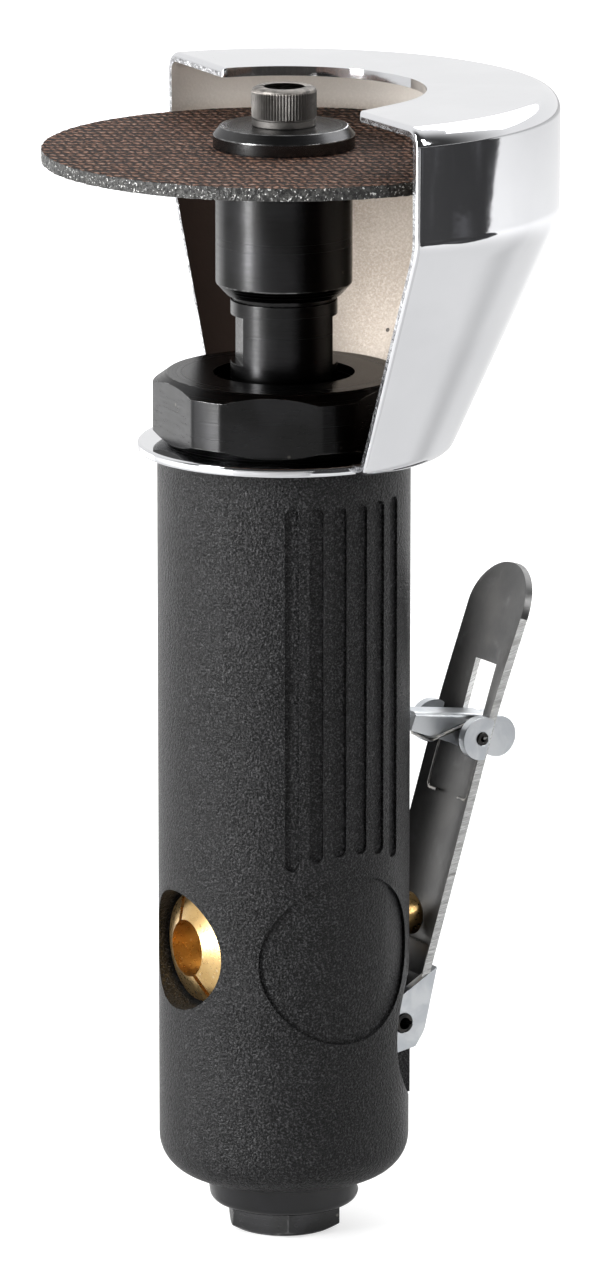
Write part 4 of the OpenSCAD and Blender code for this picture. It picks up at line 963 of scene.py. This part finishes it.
along = Vector((math.sin(guard_lean), math.cos(guard_lean)))
outward = Vector((math.cos(guard_lean), -math.sin(guard_lean)))
lean = math.degrees(guard_lean)
foot_run = FOOT_ROUND * math.tan(math.pi / 4 - guard_lean / 2)
knee_run = KNEE_ROUND * math.tan(guard_lean / 2)
foot = Vector((FOOT_R, guard_low)) + foot_run * along - FOOT_ROUND * outward
knee = Vector((guard_r, KNEE_Z)) - knee_run * along - KNEE_ROUND * outward
corner = Vector((guard_r - TOP_ROUND, guard_high - TOP_ROUND))
section = [(RING_R - SHEET, guard_low)]
section += arc(foot, FOOT_ROUND, -90, -lean)
section += arc(knee, KNEE_ROUND, -lean, 0)
section += arc(corner, TOP_ROUND, 0, 90)
section += [(FLANGE_R, guard_high), (FLANGE_R, guard_high - SHEET)]
section += arc(corner, TOP_ROUND - SHEET, 90, 0)
section += arc(knee, KNEE_ROUND - SHEET, 0, -lean)
section += arc(foot, FOOT_ROUND - SHEET, -lean, -90)
section += [(RING_R - SHEET, guard_low + SHEET)]
bm = bmesh.new()
verts = [bm.verts.new((r * math.cos(GUARD_START), r * math.sin(GUARD_START), z)) for r, z in section]
first_end = bm.faces.new(verts)
bmesh.ops.spin(bm, geom=[first_end], cent=(0, 0, 0), axis=(0, 0, 1), angle=GUARD_SWEEP, steps=GUARD_STEPS)
for vert in bm.verts:
    share = (math.atan2(vert.co.y, vert.co.x) - GUARD_START) / TIP_SPAN
    if vert.co.xy.length < FLANGE_R + 0.01 * MM and vert.co.z > KNEE_Z and share < 1:
        vert.co.xy *= 1 + TIP_CUT / FLANGE_R * (1 - share) ** 2
bmesh.ops.recalc_face_normals(bm, faces=bm.faces)
for face in bm.faces:
    centre = face.calc_center_median()
    radial = centre.xy.normalized()
    n_out = face.normal.xy.dot(radial)
    sideways = abs(face.normal.x * -radial.y + face.normal.y * radial.x)
    above = centre.z > KNEE_Z
    at_edge = sideways > 0.5 or centre.xy.length < FLANGE_R + TIP_CUT and abs(n_out) > 0.8
    if sideways > 0.5:
        face.material_index = 2
    elif not at_edge and (n_out + face.normal.z if above else n_out - face.normal.z) < 0:
        face.material_index = 1
outer_ends = [e for e in bm.edges if sorted(f.material_index for f in e.link_faces) == [0, 2]]
bmesh.ops.bevel(bm, geom=outer_ends, offset=END_ROUND, segments=5, profile=0.5, affect="EDGES",
                clamp_overlap=True)
round_edges(bm, 0.3 * MM, least_angle=55, segments=4)
ring = spun([(RING_HOLE_R, guard_low), (RING_R, guard_low), (RING_R, guard_low + SHEET),
             (RING_HOLE_R, guard_low + SHEET)], steps=RING_STEPS)
round_edges(ring, 0.4 * MM, least_angle=55, segments=3)
add_bmesh(bm, ring)
place_piece("guard_bowl", bm, [FINISHES["chrome_plate"], dull_inside, cut_edge],
            "guard", "wheel_guard", smooth_angle=50)

# %% [markdown]
# ## Springs
#
# A spring is a wire along a route. The route is a poly curve with a round bevel, turned into a
# mesh. The latch's spring has a coil on each side of the latch, two legs that press on the lever
# and a loop under the latch's arm. Its loop swings with the latch, and the valve's spring is
# squeezed when the plunger moves, but both springs are built once where they rest and are
# attached to no body.

# %% Springs


def wire_piece(name, route, radius, finish, node):
    curve = bpy.data.curves.new(name, "CURVE")
    curve.dimensions = "3D"
    curve.bevel_depth = radius
    curve.bevel_resolution = 2
    curve.use_fill_caps = True
    spline = curve.splines.new("POLY")
    spline.points.add(len(route) - 1)
    for point, place in zip(spline.points, route):
        point.co = (*place, 1)
    holder = bpy.data.objects.new(name + "_route", curve)
    mesh = bpy.data.meshes.new_from_object(holder)
    bpy.data.objects.remove(holder)
    bpy.data.curves.remove(curve)
    bm = bmesh.new()
    bm.from_mesh(mesh)
    bpy.data.meshes.remove(mesh)
    bmesh.ops.remove_doubles(bm, verts=bm.verts, dist=1e-7)
    return place_piece(name, bm, [finish], None, node, smooth_angle=60)


GAP, WIRE = 0.3 * MM, 0.6 * MM
COIL_R = 1.38 * MM
COIL_TURNS, COIL_PITCH = 2, 1.05 * MM
COIL_STEP = math.radians(15)
LOOP_LEAVE = math.radians(109)
LEG_LENGTH, FOOT_LENGTH, LEG_OUT = 10.4 * MM, 2.6 * MM, 1.7 * MM
coil_y = LATCH_HALF + GAP + WIRE / 2
coil_sweep = 2 * math.pi * COIL_TURNS + LOOP_LEAVE + LEVER_LEAN
coil_far_y = coil_y + COIL_PITCH * coil_sweep / (2 * math.pi)


def spring_side(side):
    """Half of the latch's spring, from the middle of its loop to one foot."""
    def at(x, y, z):
        return PIN + Vector((x, side * y, z))

    half = [at(-6.4 * MM, 0, -0.35 * MM), at(-6.4 * MM, coil_y - 0.8 * MM, -0.35 * MM),
            at(-6.1 * MM, coil_y - 0.15 * MM, -0.25 * MM), at(-5.4 * MM, coil_y, 0)]
    steps = int(coil_sweep / COIL_STEP)
    for i in range(steps + 1):
        share = i / steps
        angle = LOOP_LEAVE - share * coil_sweep
        out = coil_y + share * (coil_far_y - coil_y)
        half.append(at(COIL_R * math.cos(angle), out, COIL_R * math.sin(angle)))
    for down, y in ((1.9 * MM, coil_far_y), (LEG_LENGTH - 0.6 * MM, coil_far_y),
                    (LEG_LENGTH, coil_far_y - 0.5 * MM), (LEG_LENGTH, coil_far_y - FOOT_LENGTH)):
        half.append(PIN + LEG_OUT * sheet_normal - down * up_lever + Vector((0, side * y, 0)))
    return half


route = spring_side(-1)[:0:-1] + spring_side(1)
spring = wire_piece("latch_coils", route, WIRE / 2, FINISHES["spring_steel"], "latch_spring")
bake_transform(spring)

VALVE_WIRE, VALVE_COIL_R, VALVE_TURNS = 0.8 * MM, 2.9 * MM, 4
spring_low, spring_high = (corner.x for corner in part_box("valve_spring"))
spring_low, spring_high = spring_low + VALVE_WIRE / 2, spring_high - VALVE_WIRE / 2
valve_height = sum(corner.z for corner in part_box("valve_spring")) / 2
TURN_STEPS = 24
route = []
for i in range(VALVE_TURNS * TURN_STEPS + 1):
    share, angle = i / (VALVE_TURNS * TURN_STEPS), 2 * math.pi * i / TURN_STEPS
    route.append(Vector((spring_low + share * (spring_high - spring_low), VALVE_COIL_R * math.cos(angle),
                         valve_height + VALVE_COIL_R * math.sin(angle))))
spring = wire_piece("valve_coils", route, VALVE_WIRE / 2, FINISHES["spring_steel"], "valve_spring")
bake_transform(spring)

# %% [markdown]
# ## Floor
#
# The tool stands on a plain pale sheet that runs far enough back to fill the picture. It is an
# ordinary diffuse surface, so it keeps the soft shadow. It glows for the camera, and slightly in
# reflections, where a full glow would clip the chrome to white. Three cards on it, dark, bright and
# grey, are seen by reflections only and give the metal its tones.

# %% Floor
FLOOR_HALF = 4.0
FLOOR_GREY, FLOOR_FAR = 0.53, 0.92
PALE_FROM, PALE_AT = 0.3, 0.75                      # metres from the tool
GLOW, MIRRORED_GLOW = 0.6, 0.04
bm = bmesh.new()
bmesh.ops.create_grid(bm, x_segments=1, y_segments=1, size=FLOOR_HALF)
floor_mesh = bpy.data.meshes.new("floor")
bm.to_mesh(floor_mesh)
bm.free()
floor = bpy.data.objects.new("floor", floor_mesh)
scene.collection.objects.link(floor)
paper = Finish("floor paper", roughness=0.9)
away = wire_up(paper.tree, "VectorMath", {0: object_coordinates(paper.tree)},
               operation="LENGTH").outputs["Value"]
paper.colour((FLOOR_GREY,) * 3, (paper.effect(patches, Scale=3), (FLOOR_GREY * 0.98,) * 3),
             (ramp(paper.tree, away, PALE_FROM, PALE_AT), (FLOOR_FAR,) * 3))
ray = paper.tree.nodes.new("ShaderNodeLightPath")
seen = math_node(paper.tree, "MULTIPLY", ray.outputs["Is Camera Ray"], GLOW)
mirrored = math_node(paper.tree, "MAXIMUM", ray.outputs["Is Glossy Ray"],
                     ray.outputs["Is Transmission Ray"])
mirrored = math_node(paper.tree, "MULTIPLY", mirrored, MIRRORED_GLOW)
paper.set("Emission Color", (1, 1, 1, 1))
paper.set("Emission Strength", math_node(paper.tree, "ADD", seen, mirrored))
floor_mesh.materials.append(paper.material)
print("floor:", 2 * FLOOR_HALF, "m square")

# %% Floor cards
CARD_LIFT = 0.002
CARD_LINES, CARD_STEPS = 12, 90


def floor_card(name, start, end, near, far, material, wobble=0.0):
    """A flat sector that only reflections see, between two angles to the camera's right."""
    start, end = math.radians(start), math.radians(end)
    first = toward_camera * math.cos(start) + camera_right * math.sin(start)
    bm = bmesh.new()
    reaches = [near * (far / near) ** (i / CARD_LINES) for i in range(CARD_LINES + 1)]
    line = [bm.verts.new(first * reach + Vector((0, 0, CARD_LIFT))) for reach in reaches]
    edges = [bm.edges.new(pair) for pair in zip(line, line[1:])]
    bmesh.ops.spin(bm, geom=line + edges, cent=(0, 0, 0), axis=(0, 0, 1), angle=end - start,
                   steps=CARD_STEPS)
    for vert in bm.verts:
        reach = math.log(vert.co.xy.length)
        turn = Matrix.Rotation(wobble * noise.noise((4 * reach, 0, 0)), 3, "Z")
        vert.co = turn @ vert.co * (1 + wobble * noise.noise(vert.co * 5))
    mesh = bpy.data.meshes.new(name)
    bm.to_mesh(mesh)
    bm.free()
    mesh.materials.append(material)
    card = bpy.data.objects.new(name, mesh)
    scene.collection.objects.link(card)
    for way in ("camera", "diffuse", "shadow", "transmission"):
        setattr(card, "visible_" + way, False)
    return card


cloth = Finish("dark cloth", roughness=1.0)
cloth.colour((0.002, 0.002, 0.003),
             (cloth.effect(patches, Scale=6, Low=0.5, High=0.75), (0.045, 0.045, 0.05)))
felt_sheet = Finish("grey cloth", roughness=1.0)
felt_sheet.colour((0.42, 0.42, 0.42), (felt_sheet.effect(patches, Scale=6), (0.5, 0.5, 0.5)))
board = Finish("bright board", roughness=1.0, Emission_Color=(1, 1, 1, 1), Emission_Strength=2.2)
board.colour((0.8, 0.8, 0.8))
cards = [floor_card("dark floor", 20, 96, 0.52, 2.6, cloth.material, 0.16),
         floor_card("bright floor", -152, -122, 0.46, 0.9, board.material),
         floor_card("grey floor", -40, 20, 0.12, 2.6, felt_sheet.material)]
print("floor cards:", [card.name for card in cards])
